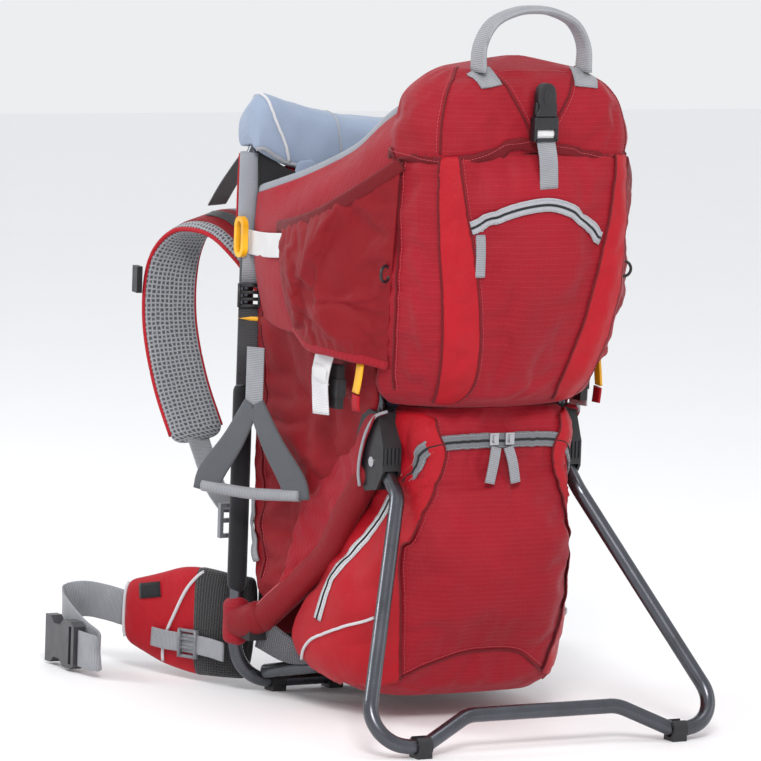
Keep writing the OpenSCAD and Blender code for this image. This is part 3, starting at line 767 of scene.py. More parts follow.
def lid_details(lid):
    tree = tree_of(lid)
    hem = [(-124, -240, 580), (-118, -280, 576), (-100, -312, 572), (-70, -322, 576), (-35, -324, 588),
        (0, -325, 592), (35, -324, 588), (70, -322, 576), (100, -312, 572), (118, -280, 576),
        (124, -240, 580)]
    path = route(hem)
    finish(strip_on("lid_hem", tree, path, 0.012, thick=0.0018, lift=0.0006, columns=4), DARK_RED)
    line, normal = laid(tree, path + [0, 0, 0.0035], 0.0026)
    finish(stitches("lid_hem_stitches", line, normal), THREAD_RED)
    for side, s in SIDES.items():
        seam(f"lid_side_seam_{side}", tree, mirror(LID_SIDE, s))
        seam(f"lid_flap_seam_{side}", tree, mirror(LID_FLAP, s))
    top, up = laid(tree, route([(-40, -296, 668), (0, -298, 672), (40, -296, 668)]), 0.0006)
    finish(stitches("lid_top_stitches", top, up), THREAD_RED)
    for side, s in SIDES.items():
        base = strip_on(f"handle_base_{side}", tree, route([(-59, -288, 668), (-57, -298, 660),
            (-54, -306, 648)], s, 0.003), 0.025, thick=0.0016, lift=0.0006)
        finish(base, GREY_WEB)


def lower_details(lower):
    tree = tree_of(lower)
    for side, s in SIDES.items():
        inner = mirror(LOWER_INNER, s)
        outer = mirror([(-94, -200, 318), (-96, -200, 300), (-97, -196, 276), (-100, -178, 240),
            (-106, -146, 200), (-112, -122, 170), (-124, -94, 120), (-130, -76, 84), (-124, -88, 50)], s)
        panel = patch_on(f"lower_side_{side}", tree, inner, outer, lift=0.0024, thick=0.001, columns=26)
        finish(panel, BRIGHT)
        seam(f"lower_side_{side}_seam", tree, inner, lift=0.003)
        zip_line(f"side_zip_{side}", tree, mirror([(-104, -205, 231), (-108, -178, 188), (-114, -150, 143),
            (-122, -136, 96)], s), 0.0125, ZIP_PALE, lift=0.0036)
        line, _ = laid(tree, route([(-128, -104, 54), (-127, -132, 76), (-122, -173, 95),
            (-116, -214, 109)], s), 0.0042)
        finish(piping(f"lower_piping_{side}", line, 0.0016), PIPE_WHITE)
    zip_line("bag_zip", tree, [(-101, -230, 250), (-98, -244, 268), (-87, -262, 284), (-66, -264, 290),
        (-40, -266, 292), (0, -268, 292), (42, -266, 292), (66, -264, 290), (87, -262, 284),
        (98, -244, 268), (101, -230, 250)], 0.015, ZIP_DARK)
    seam("lower_bottom_seam", tree, [(-86, -226, 44), (-60, -232, 60), (-17, -236, 72), (20, -236, 73),
        (46, -232, 70), (64, -230, 58), (84, -226, 44)])


# ---------------------------------------------------------------- cockpit


def sheet_between(name, edges, thick, bulge, step=6.0, columns=26, crease=0.0012, seed=3, slack=0.0):
    """A padded sheet through several edges. bulge is how many metres its middle stands out."""
    lines = [spline(e, step) for e in edges]
    n = max(len(e) for e in lines)
    lines = [recount(e, n) for e in lines]
    rows = pack([recount(spline(points, 1.0), columns) for points in zip(*lines)])
    normal = unit(np.cross(np.gradient(rows, axis=0), np.gradient(rows, axis=1)))
    share = np.sin(np.linspace(0, math.pi, columns))[None, :, None] * np.sin(np.linspace(0.15,
        math.pi - 0.15, n))[:, None, None]
    outward = np.sign((normal * (rows - pack([0, -120, 300]))).sum(axis=2, keepdims=True))
    normal = normal * outward
    rows = folds(rows + normal * bulge * share, normal * share, crease, (0.05, 0.05, 0.05), seed)
    made = grid(name, rows, flip=bool((outward < 0).mean() > 0.5))
    if slack:
        i, j = np.arange(n)[:, None], np.arange(columns)[None, :]
        inside = np.minimum(np.minimum(i, n - 1 - i), np.minimum(j, columns - 1 - j))
        settle(made, np.clip(1 - 0.5 * inside, 0, 1).ravel(), pressure=1.5, slack=slack, cap=0.012)
    return shell(made, thick, 0.0)


def wings():
    for side, s in SIDES.items():
        edges = [
            mirror([(-152, -12, 520), (-150, -50, 530), (-136, -100, 548), (-118, -158, 576),
                (-104, -190, 606), (-92, -224, 630), (-98, -246, 642)], s),
            mirror([(-155, -16, 480), (-160, -60, 488), (-156, -120, 510), (-140, -180, 545),
                (-124, -226, 580), (-118, -250, 600)], s),
            mirror([(-157, -26, 440), (-165, -70, 440), (-164, -130, 450), (-150, -190, 470),
                (-130, -246, 500)], s),
            mirror([(-153, -40, 394), (-156, -72, 388), (-156, -110, 386), (-146, -170, 380),
                (-126, -222, 372)], s),
        ]
        wall = sheet_between(f"wing_wall_{side}", edges, 0.007, 0.004, seed=5 + s)
        finish(wall, CRIMSON, f"side_wing_{side}", smooth=1)
        inner = [e * [0.94, 1, 1] + [0, 0, -2] for e in edges]
        lining = sheet_between(f"wing_lining_{side}", inner, 0.005, 0.003, seed=9 + s)
        finish(lining, BLUE_GREY, smooth=1)
        rim = sweep(f"wing_rim_{side}", spline(pack(edges[0] * [0.965, 1, 1]), 0.006), 0.017, 0.015, UP,
            power=2.2)
        finish(rim, GREY_LINING, smooth=1)
        pocket = [
            mirror([(-168, -88, 496), (-174, -130, 503), (-173, -170, 514), (-166, -206, 530),
                (-150, -240, 552), (-129, -266, 575)], s),
            mirror([(-172, -100, 467), (-184, -140, 464), (-183, -180, 468), (-168, -216, 478),
                (-148, -242, 490), (-130, -262, 500)], s),
            mirror([(-169, -108, 425), (-180, -146, 420), (-176, -186, 424), (-158, -216, 424),
                (-139, -230, 425), (-126, -250, 440)], s),
            mirror([(-163, -121, 394), (-163, -151, 379), (-157, -185, 377), (-146, -212, 374),
                (-134, -224, 372), (-120, -238, 368)], s),
        ]
        outer = sheet_between(f"wing_pocket_{side}", pocket, 0.003, 0.004, columns=44, step=5.0,
            crease=0.003, seed=15 + s, slack=0.07)
        finish(outer, CRIMSON_PLAIN, smooth=1)
        hem = spline(pack(pocket[0]), 0.005)
        band = sweep(f"wing_hem_{side}", hem - [0, 0, 0.004], 0.014, 0.006, UP, power=3)
        finish(band, DARK_RED)
        low = sweep(f"wing_base_{side}", spline(pack(pocket[-1]), 0.005), 0.010, 0.007, UP, power=2.4)
        finish(low, CRIMSON)
        tie = sweep(f"wing_strap_{side}", route([(-160, -4, 469), (-165, -40, 470), (-171, -70, 472),
            (-174, -92, 474), (-174, -112, 476)], s), 0.025, 0.002, UP)
        finish(tie, WHITE_WEB)


def chin_pad():
    rows = []
    for x in np.linspace(-160, 160, 64):
        t = abs(x) / 160
        top = 594 + 27 * min(1.0, t * 1.08) ** 2 - 14 * max(0.0, t - 0.93) / 0.07
        low = 564
        hang = 564 - 26 * math.sin(math.pi * min(1.0, (1 - t) * 2.2) / 2)
        front = 34 - 12 * t**2
        back = -36 + 12 * t**3
        outline = [(front, low), (front + 3, low + 0.6 * (top - low)), (front - 14, top - 1), (-2, top + 2),
            (back + 8, top - 4), (back, top - 20), (back + 1, hang), (back + 13, hang + 1),
            (back + 16, low + 6), (front - 14, low + 2)]
        rows.append(rounded([(x, y, z) for y, z in outline], 60))
    rows = np.array(rows)
    mid_a, mid_b = rows[0].mean(axis=0), rows[-1].mean(axis=0)
    ends = [mid_a + (rows[0] - mid_a) * s - [3 * (1 - s), 0, 0] for s in (0.3, 0.7, 0.9)]
    far = [mid_b + (rows[-1] - mid_b) * s + [3 * (1 - s), 0, 0] for s in (0.9, 0.7, 0.3)]
    rows = pack(np.array(ends + list(rows) + far))
    rows = folds(rows, unit(rows - rows.mean(axis=1, keepdims=True)), 0.003, (0.035, 0.06, 0.06), 41)
    pad = grid("chin_cushion", rows, wrap=True, ends=True)
    finish(pad, BLUE_GREY, "chin_pad", smooth=1)
    tree = tree_of(pad)
    for side, s in SIDES.items():
        line, _ = laid(tree, route([(-128, -40, 548), (-136, -40, 575), (-146, -34, 600), (-149, -12, 618),
            (-148, 16, 612), (-144, 36, 590)], s), 0.0008)
        finish(piping(f"chin_piping_{side}", line, 0.0016), PIPE_WHITE)
        line, _ = laid(tree, route([(-162, -20, 564), (-156, -34, 562), (-140, -40, 548), (-120, -44, 540),
            (-90, -46, 536)], s), 0.0008)
        finish(piping(f"chin_binding_{side}", line, 0.0022), PIPE_GREY)
        finish(sweep(f"chin_seam_{side}", laid(tree, route([(-72, -44, 545), (-72, -40, 590), (-70, 0, 606),
            (-66, 36, 590), (-66, 38, 568)], s), 0.0003)[0], 0.002, 0.0016, X_AXIS, power=2, sides=8),
            THREAD_GREY, slot="blue_grey_fabric")
        corner = sheet_between(f"corner_lining_{side}", [mirror([(-153, -8, 566), (-130, -26, 546), (-112,
            -34, 540)], s), mirror([(-151, -12, 500), (-140, -30, 505), (-126, -34, 520)], s)], 0.003,
            0.001, seed=2)
        finish(corner, BLACK_FABRIC)


def panel_slab(name, x_half, y0, y1, z0, z1, material, *nodes, taper=0.0, fill=0.5):
    """A padded panel that stands upright, crowned and rounded at its edges."""
    rows = []
    for z in np.linspace(z0, z1, 50):
        t = (z - z0) / (z1 - z0)
        inset = 8 * (1 - math.sqrt(max(0.0, 1 - (2 * t - 1) ** 8)))
        w = x_half * (1 + taper * t) - inset
        mid, half = (y0 + y1) / 2, max(1.5, (y1 - y0) / 2 * (1 - inset / 12))
        rows.append(rounded([(-w, mid + half, z), (-w, mid - half, z), (0, mid - half - 1, z),
            (w, mid - half, z), (w, mid + half, z), (0, mid + half + 1, z)], 72, 3))
    rows = pack(np.array(rows))
    normal = np.zeros_like(rows)
    normal[..., 1] = np.sign(rows[..., 1] - pack([0, (y0 + y1) / 2, 0])[1])
    slab = grid(name, folds(rows, normal, 0.0015, (0.06, 0.06, 0.05), z0), wrap=True, ends=True)
    finish(slab, material, *nodes, smooth=1)
    return slab


ROLL = [(-104.5, -187, 262), (-108, -164, 229), (-111, -146, 205), (-114.5, -122, 166), (-122, -98, 141),
    (-131, -74, 117), (-141, -48, 93), (-147, -32, 76)]
GUSSET = [(-106, -158, 294), (-112, -125, 266), (-120, -95, 235), (-126, -80, 215), (-130, -84, 196),
    (-133, -77, 174), (-137, -72, 132), (-143, -58, 100)]


def cockpit():
    panel_slab("front_panel_pad", 141, -28, -14, 62, 552, CRIMSON_PLAIN, "front_panel")
    panel_slab("front_lining_pad", 126, -35, -29, 300, 556, BLUE_GREY)
    panel_slab("rear_panel_pad", 84, -180, -167, 236, 590, BLUE_GREY, "rear_panel")
    rolls = []
    for side, s in SIDES.items():
        edges = [
            mirror([(-149, -14, 470), (-147, -13, 350), (-144, -12, 220), (-142, -18, 130),
                (-140, -38, 98)], s),
            mirror([(-150, -80, 420), (-140, -70, 320), (-134, -50, 220), (-139, -42, 130),
                (-139, -44, 96)], s),
            mirror([(-122, -214, 400), (-108, -196, 310), (-110, -128, 244), (-122, -90, 184),
                (-134, -76, 128), (-140, -62, 96)], s),
        ]
        wall = sheet_between(f"cockpit_side_{side}", edges, 0.007, 0.004, crease=0.003, seed=61 + s,
            slack=0.05)
        finish(wall, CRIMSON_PLAIN, smooth=1)
        tree = tree_of(wall)
        seam(f"cockpit_seam_{side}", tree, mirror([(-152, -34, 400), (-150, -32, 300), (-148, -30, 200),
            (-144, -36, 120)], s), lift=0.001)
        strip = strip_on(f"cockpit_strip_{side}", tree, route([(-152, -8, 214), (-150, -14, 180), (-148,
            -24, 140)], s, 0.004), 0.009, thick=0.002, lift=0.002)
        finish(strip, GREY_WEB)
        roll = [np.array(p) for p in ROLL]
        gusset = sheet_between(f"gusset_{side}", [mirror(GUSSET, s),
            mirror([(a + b) / 2 + [-4, 0, 3] for a, b in zip(np.array(GUSSET, float), roll)], s),
            mirror([p + [-7, 2, 6] for p in roll], s)], 0.006, 0.003, seed=71 + s, slack=0.02)
        finish(gusset, CRIMSON, smooth=1)
        path = route(ROLL, s, 0.006)
        body = sweep(f"roll_{side}", path, 0.029, 0.029, UP, power=2, sides=28, taper=0.012)
        rolls.append(body)
        line = path + mirror([-0.0085, 0.004, 0.0115], s)
        finish(piping(f"roll_seam_{side}", line[2:-2], 0.001), THREAD_RED)
        wrap = sweep(f"hoop_wrap_{side}", route([(-156, -2, 50), (-157, -1, 62), (-157, -1, 80),
            (-157, 0, 101)], s, 0.004), 0.027, 0.027, Y_AXIS, power=2.2, sides=24, taper=0.008)
        finish(wrap, CRIMSON, smooth=1)
        foot = sweep(f"foot_wrap_{side}", route([(-158, 6, 74), (-155, -10, 76), (-151, -26, 80),
            (-145, -42, 90)], s, 0.004), 0.034, 0.031, UP, power=2.4, sides=28, taper=0.012)
        finish(foot, CRIMSON_PLAIN, smooth=1)
        collar = route([(-108, -214, 318), (-116, -204, 312), (-118, -190, 296), (-118, -179, 272),
            (-118, -176, 252), (-117, -178, 238)], s, 0.004)
        finish(sweep(f"hinge_collar_{side}", collar, 0.016, 0.004, (0, -1, 0.3), power=2.5), CRIMSON,
            smooth=1)
        finish(piping(f"hinge_piping_{side}", collar + mirror([-0.002, -0.008, 0.002], s), 0.0016),
            PIPE_GREY)
        skirt = sheet_between(f"base_skirt_{side}", [mirror([(-143, -34, 84), (-134, -70, 70),
            (-118, -110, 54)], s), mirror([(-140, -14, 50), (-126, -60, 40), (-108, -100, 46)], s)], 0.003,
            0.002, seed=91)
        finish(skirt, FINE_MESH)
    rolls = joined("strut_rolls", rolls)
    finish(smoothed(rolls), CRIMSON_PLAIN, "strut_sleeves", smooth=1)


def plate(name, outline, y_low, y_high, *nodes, body="frame", edge=0.9):
    """A black plate with rounded edges: half of an outline in x and z, mirrored, between two depths."""
    loop = list(outline) + [(-x, z) for x, z in reversed(outline) if x > 0.01]
    bm = bmesh.new()
    front = [bm.verts.new(pack([x, y_low, z])) for x, z in loop]
    back = [bm.verts.new(pack([x, y_high, z])) for x, z in loop]
    bm.faces.new(front)
    bm.faces.new(back[::-1])
    for k in range(len(loop)):
        n = (k + 1) % len(loop)
        bm.faces.new([front[n], front[k], back[k], back[n]])
    bmesh.ops.recalc_face_normals(bm, faces=bm.faces)
    bmesh.ops.bevel(bm, geom=bm.edges[:], offset=edge * 0.001, segments=3, affect="EDGES", profile=0.5)
    mesh = bpy.data.meshes.new(name)
    bm.to_mesh(mesh)
    bm.free()
    mesh.set_sharp_from_angle(angle=math.radians(50))
    return finish(linked(name, mesh), BLACK, *nodes, body=body)


def lid_buckle():
    """The lid's buckle: an arched socket with the prongs showing at its sides, and a slotted plug."""
    y = (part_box("lid_buckle_socket")[0][1] - ORIGIN[1]) * 1000
    arch = [(0, 655.5), (5, 654.5), (8.6, 651), (10.4, 645), (10.6, 638), (8.2, 633), (9.0, 628.5),
        (11.6, 625.5), (12.2, 622.3)]
    plate("lid_socket_shell", arch, y, y + 8.5, "lid_buckle_socket")
    plate("lid_socket_ridge", [(0, 650), (3.2, 648), (4.6, 642), (3.4, 636), (0, 634)], y - 0.9, y + 2,
        edge=0.6)
    plate("lid_plug_shell", [(0, 621.6), (13.2, 621.6), (13.6, 619), (13.6, 609.5), (0, 609.5)], y - 0.6,
        y + 9, "lid_buckle_plug", body="lid_plug")
    for tag, x in (("left", -11.8), ("right", 11.8)):
        rail = plate(f"lid_plug_rail_{tag}", [(1.8, 611), (1.8, 598), (0, 597.4)], y - 0.6, y + 8,
            body="lid_plug", edge=0.5)
        rail.data.transform(Matrix.Translation((x * 0.001, 0, 0)))
        prong = plate(f"lid_prong_{tag}", [(0, 637), (1.6, 635), (2.0, 629), (1.4, 621), (0, 621)], y + 1.5,
            y + 6.5, body="lid_plug", edge=0.5)
        prong.data.transform(Matrix.Translation((x * 0.00088, 0, 0)))
    plate("lid_plug_bar", [(0, 600.6), (12.6, 600.6), (12.6, 597.6), (0, 597.6)], y - 0.6, y + 6,
        body="lid_plug", edge=0.6)
    window = pack([(0, y + 3.5, 611), (0, y + 1.6, 605), (0, y + 3.5, 599)])
    finish(sweep("lid_plug_web", window, 0.020, 0.0018, X_AXIS), WHITE_WEB, body="lid_plug")
    hang = route([(1, y + 3, 600), (2, y + 1.5, 592), (3, y - 1, 580), (5, y + 0.5, 566), (6, y + 1, 551)],
        step=0.004)
    finish(sweep("lid_tail", hang, 0.0205, 0.0018, (1, 0, 0.06)), GREY_WEB, body="lid_plug")


def ladder_lock(name, centre, right, up, width, height, thick, material, bars=3):
    """A moulded ladder lock: two side rails joined by bars."""
    centre, right, up = pack(centre), unit(right), unit(up)
    parts = []
    for k in (-1, 1):
        rail = centre + right * k * (width / 2 - 0.0016)
        parts.append(sweep("rail", np.array([rail - up * height / 2, rail, rail + up * height / 2]), 0.0034,
            thick, right, power=3.5))
    for share in np.linspace(-0.5, 0.5, bars + 1):
        bar = centre + up * share * (height - 0.003)
        parts.append(sweep("bar", np.array([bar - right * width / 2, bar, bar + right * width / 2]), 0.0036,
            thick * 0.8, up, power=3))
    lock = joined(name, parts)
    return finish(smoothed(lock), material)


def hoop_fittings():
    """The sleeve, straps and locks along the hoop's uprights, and the side closures below the wings."""
    for side, s in SIDES.items():
        view = mirror((0.88, -0.48, 0), s)
        sleeve = sweep(f"hoop_sleeve_{side}", route([(-157, 0, 476), (-157, 0, 520), (-157, 0, 560)], s,
            0.006), 0.0215, 0.0215, Y_AXIS, power=2, sides=24)
        finish(sleeve, GREY_LINING)
        finish(piping(f"sleeve_edge_{side}", route([(-165, 9, 478), (-165, 9, 518), (-164, 9, 558)], s,
            0.006), 0.0016), BRIGHT)
        cover = sweep(f"hoop_cover_{side}", route([(-157, 0, 104), (-157, 0, 200), (-157, 0, 300),
            (-157, 0, 324)], s, 0.006), 0.0205, 0.0205, Y_AXIS, power=2, sides=24, taper=0.004)
        finish(cover, BLACK_FABRIC, slot="black_webbing", smooth=1)
        for tag, low, high, material, width, thick in (("upper", 425, 474, GREY_WEB, 0.017, 0.0022),
            ("lower", 322, 404, BLACK_WEB, 0.021, 0.0022), ("mark", 389, 391.5, YELLOW, 0.0214, 0.003)):
            path = pack(mirror([(-159, -11, low), (-159, -11.5, (low + high) / 2), (-159, -11, high)], s))
            finish(sweep(f"hoop_web_{tag}_{side}", path, width, thick, view), material)
        ladder_lock(f"hoop_lock_{side}", mirror((-160, -13, 414), s), view, UP, 0.024, 0.024, 0.006, BLACK)
        tail = sweep(f"closure_web_{side}", route([(-148, -166, 384), (-152, -162, 366), (-153, -158, 348),
            (-151, -156, 328), (-150, -157, 310)], s, 0.004), 0.034, 0.0022, (0, 1, 0.22))
        finish(tail, WHITE_WEB)
        fold = sweep(f"closure_fold_{side}", route([(-150, -160, 362), (-155, -160, 356), (-154, -159, 346),
            (-150, -159, 342)], s, 0.003), 0.029, 0.004, (0, 1, 0.1), power=3)
        finish(fold, WHITE_WEB)
        tab = sweep(f"yellow_tab_{side}", route([(-137, -212, 368), (-139, -212, 352), (-141, -211, 338)],
            s, 0.004), 0.0115, 0.003, Y_AXIS, power=8)
        finish(tab, YELLOW)
        end = sweep(f"tab_end_{side}", route([(-140, -211, 336), (-140, -210, 328), (-139, -210, 320)], s,
            0.004), 0.014, 0.004, Y_AXIS, power=3)
        finish(end, BRIGHT)


def seat():
    rows = []
    for y in np.linspace(-164, -44, 30):
        t = (y + 164) / 120
        w = 70 - 30 * t
        z0, z1 = 226, 242 + 3 * math.sin(math.pi * t)
        rows.append(rounded([(-w, y, z0), (-w, y, z1 - 2), (0, y, z1), (w, y, z1 - 2), (w, y, z0),
            (0, y, z0 - 1)], 40))
    cushion = grid("seat_cushion", pack(np.array(rows)), wrap=True, ends=True)
    finish(cushion, BLUE_GREY, "seat_pad", body="seat", smooth=1)
    ribbons = []
    for side, s in SIDES.items():
        path = route([(-28, -160, 300), (-34, -158, 380), (-32, -158, 460), (-26, -162, 528)], s, 0.006)
        ribbons.append(sweep(f"ribbon_{side}", path, 0.038, 0.008, X_AXIS, power=3, taper=0.01))
    both = joined("child_straps", ribbons)
    finish(both, BLUE_GREY, "child_harness", smooth=1)


# ---------------------------------------------------------------- wearer's harness

STRAP_PATH = [(-44, 33, 408), (-88, 44, 418), (-106, 74, 452), (-118, 118, 474), (-131, 164, 468),
    (-143, 192, 430), (-148, 190, 370), (-147, 164, 306), (-143, 122, 246)]


def back_system():
    panel_slab("back_panel_sheet", 128, 10, 17, 40, 520, BLACK_MESH, "back_panel", taper=-0.08, fill=0.3)
    pads = []
    for s in (-1, 1):
        rows = []
        for z in np.linspace(176, 338, 30):
            t = (z - 176) / 162
            w = 40 * math.sqrt(max(0.02, 1 - (2 * t - 1) ** 6))
            d = 20.7 * math.sqrt(max(0.04, 1 - (2 * t - 1) ** 4))
            rows.append(rounded([(s * 64 - w, 17.3, z), (s * 64 - w, 17.3 + d * 0.7, z),
                (s * 64, 17.3 + d, z), (s * 64 + w, 17.3 + d * 0.7, z), (s * 64 + w, 17.3, z)], 36))
        pads.append(grid(f"pad_{s}", pack(np.array(rows)), wrap=True, ends=True))
    both = joined("back_cushions", pads)
    finish(both, FINE_MESH, "back_pads", smooth=1)
    rows = []
    for z in np.linspace(34, 166, 30):
        t = (z - 34) / 132
        w = 116 * math.sqrt(max(0.05, 1 - (2 * t - 1) ** 6))
        d = 28 * math.sqrt(max(0.04, 1 - (2 * t - 1) ** 4))
        rows.append(rounded([(-w, 17.3, z), (-w, 17.3 + d * 0.8, z), (-30, 17.3 + d, z),
            (0, 17.3 + d * 0.75, z), (30, 17.3 + d, z), (w, 17.3 + d * 0.8, z), (w, 17.3, z)], 60))
    lumbar = grid("lumbar_cushion", pack(np.array(rows)), wrap=True, ends=True)
    finish(lumbar, FINE_MESH, "lumbar_pad", smooth=1)
    yoke = panel_slab("yoke_pad", 74, 19, 26, 366, 462, BLACK_FABRIC, "harness_yoke", fill=0.4)
    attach(yoke, "harness")


def shoulder_straps():
    for side, s in SIDES.items():
        path = route(STRAP_PATH, s, 0.006)
        across = mirror((1, -0.1, 0.35), s)
        if s > 0:
            across = -across
        strap = sweep(f"strap_pad_{side}", path, 0.056, 0.013, across, power=3.2, sides=24, taper=0.012)
        finish(strap, GREY_MESH, f"shoulder_strap_{side}", body="harness", smooth=1)
        t = tangents(path)
        a = unit(across - (across * t).sum(axis=1)[:, None] * t)
        for tag, sign in (("inner", 1), ("outer", -1)):
            edge = (path + a * sign * 0.0275)[2:-2]
            finish(piping(f"strap_piping_{side}_{tag}", edge, 0.0026), BRIGHT, body="harness")
        normal = np.cross(t, a)
        away = normal if (normal[len(path) // 2] * [0, 1, 0]).sum() > 0 else -normal
        cover = sweep(f"strap_cover_{side}", (path + away * 0.0062)[4:-3], 0.034, 0.003, across, power=4,
            taper=0.01)
        finish(cover, CRIMSON_PLAIN, body="harness", smooth=1)
        slide = sweep(f"strap_slide_web_{side}", (path + away * 0.0085)[16:30], 0.012, 0.0018, across)
        finish(slide, BLACK_WEB, body="harness")


def soft_webbing():
    lower, lifters = [], []
    for side, s in SIDES.items():
        low = route([(-144, 134, 263), (-143, 112, 234), (-147, 72, 202), (-150, 31, 184)], s, 0.006)
        lower.append(sweep(f"low_{side}", low, 0.025, 0.002, X_AXIS))
        high = route([(-124, 135, 493), (-138, 80, 522), (-150, 17, 556)], s, 0.006)
        lifters.append(sweep(f"lift_{side}", high, 0.020, 0.002, X_AXIS))
    low = joined("strap_webbing_bands", lower)
    finish(low, GREY_WEB, "strap_webbing", body=None)
    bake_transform(low)
    high = joined("load_lifter_bands", lifters)
    finish(high, BLACK_WEB, "load_lifters", body=None)
    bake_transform(high)


FIN_PLAN = [(-128, 28, 10, 112), (-150, 48, 8, 118), (-166, 78, 8, 120), (-178, 108, 12, 112),
    (-190, 140, 22, 102), (-200, 168, 32, 94)]
BELT_PATH = [(-201.5, 170, 64), (-210, 194, 66), (-219, 222, 66), (-231, 238, 62), (-244, 228, 55),
    (-250, 196, 46), (-252, 160, 36), (-252, 128, 30), (-257, 113, 27), (-262.5, 126, 27), (-263, 150, 27)]


def hip_belt():
    for side, s in SIDES.items():
        plan = spline([(x, y, (lo + hi) / 2, hi - lo) for x, y, lo, hi in FIN_PLAN], 6)
        path, height = pack(mirror(plan[:, :3], s)), plan[:, 3] * 0.001
        fin = sweep(f"hip_fin_pad_{side}", path, height, 0.017, UP, power=3.4, sides=36, taper=0.014)
        finish(fin, BRIGHT, f"hip_fin_{side}", body=f"hip_{side}", smooth=1)
        tree = tree_of(fin)
        out = mirror((-6, -6, 0), s)
        line, _ = laid(tree, spline(pack(mirror([(-162, 64, 120), (-172, 81, 98), (-178, 97, 67),
            (-183, 108, 42), (-184, 112, 15)], s) + out), 0.005), 0.0012)
        finish(piping(f"fin_piping_{side}", line, 0.0018), PIPE_WHITE, body=f"hip_{side}")
        line, _ = laid(tree, route([(-200, 160, 36), (-206, 166, 62), (-200, 160, 92)], s), 0.0012)
        finish(piping(f"fin_end_piping_{side}", line, 0.0018), PIPE_WHITE, body=f"hip_{side}")
        root_path = route([(-122, 23, 61), (-134, 31, 62), (-148, 46, 63), (-158, 61, 64), (-165, 75, 64)],
            s, 0.004)
        root = sweep(f"fin_root_{side}", root_path, np.linspace(0.106, 0.115, len(root_path)), 0.0205, UP,
            power=3.4, sides=32, taper=0.006)
        finish(root, BLACK_MESH, body=f"hip_{side}", smooth=1)
        lock = ladder_lock(f"fin_lock_{side}", mirror((-176.5, 68, 41), s), mirror((-0.44, 0.9, 0), s), UP,
            0.024, 0.03, 0.007, GREY_PLASTIC)
        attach(lock, f"hip_{side}")
        label = strip_on(f"fin_label_{side}", tree, route([(-188, 112, 92), (-196, 140, 86)], s, 0.004),
            0.016, thick=0.001, lift=0.0006)
        finish(label, BLACK_FABRIC, body=f"hip_{side}")
        belt = route(BELT_PATH, s, 0.004)
        band = sweep(f"hip_band_{side}", belt, 0.038, 0.0022, UP, power=8)
        finish(band, GREY_WEB, f"hip_webbing_{side}", body=f"hip_{side}")
        strap = sweep(f"fin_band_{side}", route([(-166, 8, 41), (-167.5, 40, 41), (-175, 68, 41),
            (-188, 96, 41), (-195, 116, 42)], s), 0.020, 0.002, UP)
        finish(strap, GREY_WEB, f"fin_strap_{side}", body=None)
        pack(mirror((-166, 12, 41), s))
        pack(mirror((-174, 66, 41), s))
        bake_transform(strap)


# ---------------------------------------------------------------- small soft parts


def handle():
    arch = [(-60, -292, 664), (-59, -292, 690), (-46, -292, 712), (-22, -292, 723), (0, -292, 725.5),
        (22, -292, 723), (46, -292, 712), (59, -292, 690), (60, -292, 664)]
    path = route(arch)
    flare = np.interp(np.abs(np.linspace(-1, 1, len(path))), [0, 0.72, 1], [0.019, 0.023, 0.027])
    grip = sweep("handle_band", path, flare, 0.0085, Y_AXIS, power=3, sides=20)
    finish(grip, GREY_WEB, "carry_handle", body="handle")
    for tag, y in (("rear", -1), ("front", 1)):
        edge = path + np.outer(flare * 0.46 * y, [0, 1, 0])
        finish(piping(f"handle_edge_{tag}", edge, 0.0018), PIPE_GREY, body="handle")


def stirrups():
    turn = math.radians(-57)
    along = np.array([math.cos(turn), math.sin(turn), 0])
    top = np.array([-172, -54, 0])
    for side, s in SIDES.items():
        across = mirror(along, s)
        def place(reach, z):
            return top + along * reach + [0, 0, z]

        bar_path = route([place(-57, 219), place(0, 216), place(57, 219)], s, 0.004)
        bar = sweep(f"stirrup_bar_{side}", bar_path, 0.012, 0.012, UP, power=2, sides=22)
        finish(bar, GREY_WEB, body=f"stirrup_{side}")
        parts = []
        for k in (-52, 52):
            leg = route([place(k, 214), place(k * 0.92, 232), place(k * 0.45, 268), place(k * 0.04, 308)],
                s)
            parts.append(sweep("leg", leg, np.linspace(0.032, 0.019, len(leg)), 0.005, across, power=4))
        both = joined(f"stirrup_loop_{side}", parts)
        finish(smoothed(both), DARK_GREY, f"stirrup_{side}", body=f"stirrup_{side}")
        web = sweep(f"stirrup_web_{side}", route([place(0, 300), place(0, 366)], s, 0.006), 0.02, 0.002,
            across)
        finish(web, GREY_WEB, body=f"stirrup_{side}")


def pulls():
    swing = {"left": -1, "right": 1}
    for side, s in swing.items():
        path = route([(s * 7, -263, 286), (s * 11, -266, 270), (s * 15, -266, 250)], step=0.003)
        pull = sweep(f"bag_pull_fabric_{side}", path, 0.011, 0.003, (1, 0, 0.2), power=4)
        finish(pull, GREY_WEB, f"bag_zip_pull_{side}", body=f"bag_pull_{side}")
    path = route([(-66, -318, 506), (-66, -320, 490), (-66, -320, 464)], step=0.003)
    pull = sweep("pocket_pull_fabric", path, 0.011, 0.003, X_AXIS, power=4)
    finish(pull, GREY_WEB, "pocket_zip_pull", body="pocket_pull")


# ---------------------------------------------------------------- studio


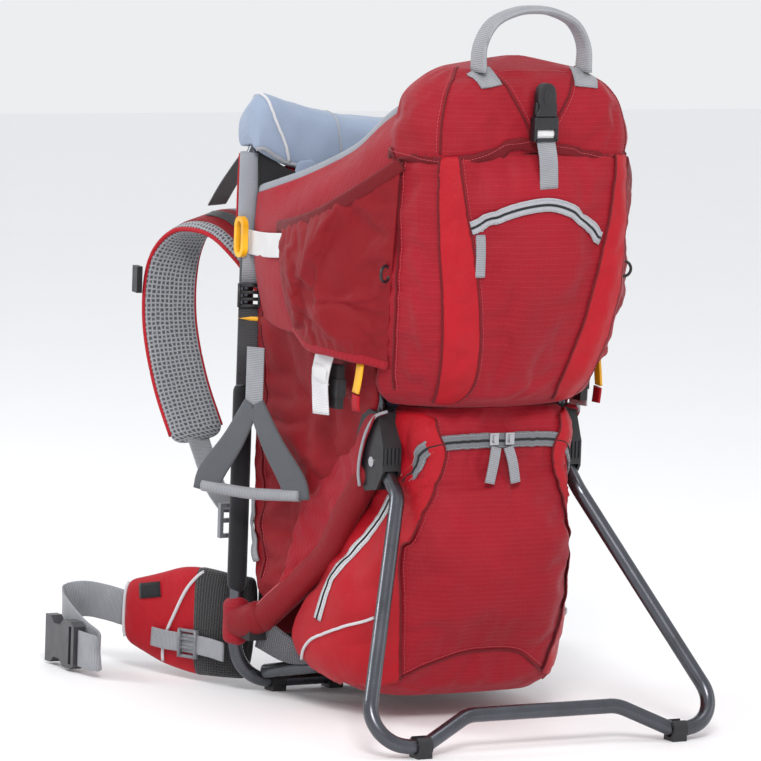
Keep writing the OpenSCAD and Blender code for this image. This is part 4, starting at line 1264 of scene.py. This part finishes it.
def studio():
    bpy.ops.mesh.primitive_plane_add(size=14, location=(0, 0, 0))
    floor = bpy.context.object
    floor.name = "studio_floor"
    f = Finish("studio_floor", 0.55, uv=False)
    f.raise_by(f.noise(30, 3), 0.1)
    floor.data.materials.append(f.done(f.blend(f.noise(3, 2), (0.92, 0.92, 0.93), (0.94, 0.94, 0.95)),
        0.0002, 0.1))
    bpy.context.scene.view_settings.view_transform = "Standard"
    world = bpy.data.worlds.new("studio")
    bpy.context.scene.world = world
    world.use_nodes = True
    world.node_tree.nodes["Background"].inputs["Color"].default_value = (0.97, 0.98, 1.0, 1)
    world.node_tree.nodes["Background"].inputs["Strength"].default_value = 0.87
    target = Vector(pack([0, -40, 330]))
    lights = {
        "key": ((-1.2, -2.4, 2.3), 0.9, 58, (1.0, 0.98, 0.96)),
        "fill": ((2.6, -1.2, 1.0), 1.2, 5, (0.96, 0.98, 1.0)),
        "rim": ((-1.8, 1.6, 1.6), 0.8, 20, (1.0, 1.0, 1.0)),
        "top": ((0.5, -0.6, 2.6), 0.9, 6, (1.0, 1.0, 1.0)),
    }
    for name, (place, size, power, colour) in lights.items():
        light = bpy.data.lights.new(name, "AREA")
        light.size, light.energy, light.color = size, power, colour
        obj = linked(name, light)
        obj.location = place
        obj.rotation_euler = (target - Vector(place)).to_track_quat("-Z", "Y").to_euler()


def camera():
    target = Vector(pack([4.4, 1.0, 320]))
    back = Vector((-0.481, -0.868, 0.122)).normalized()
    data = bpy.data.cameras.new("camera")
    data.lens, data.sensor_width = 273, 36
    data.clip_end = 40
    obj = linked("camera", data)
    turn = back.to_track_quat("Z", "Y").to_matrix() @ Matrix.Rotation(math.radians(2), 3, "Z")
    obj.matrix_world = Matrix.Translation(target + back * 6.0) @ turn.to_4x4()
    bpy.context.scene.camera = obj


camera()
studio()
hard_parts()
lower_bag, upper_bag, lid_bag = bags()
upper_details(upper_bag)
lid_details(lid_bag)
lower_details(lower_bag)
lid_buckle()
wings()
chin_pad()
cockpit()
hoop_fittings()
seat()
back_system()
shoulder_straps()
soft_webbing()
hip_belt()
handle()
stirrups()
pulls()
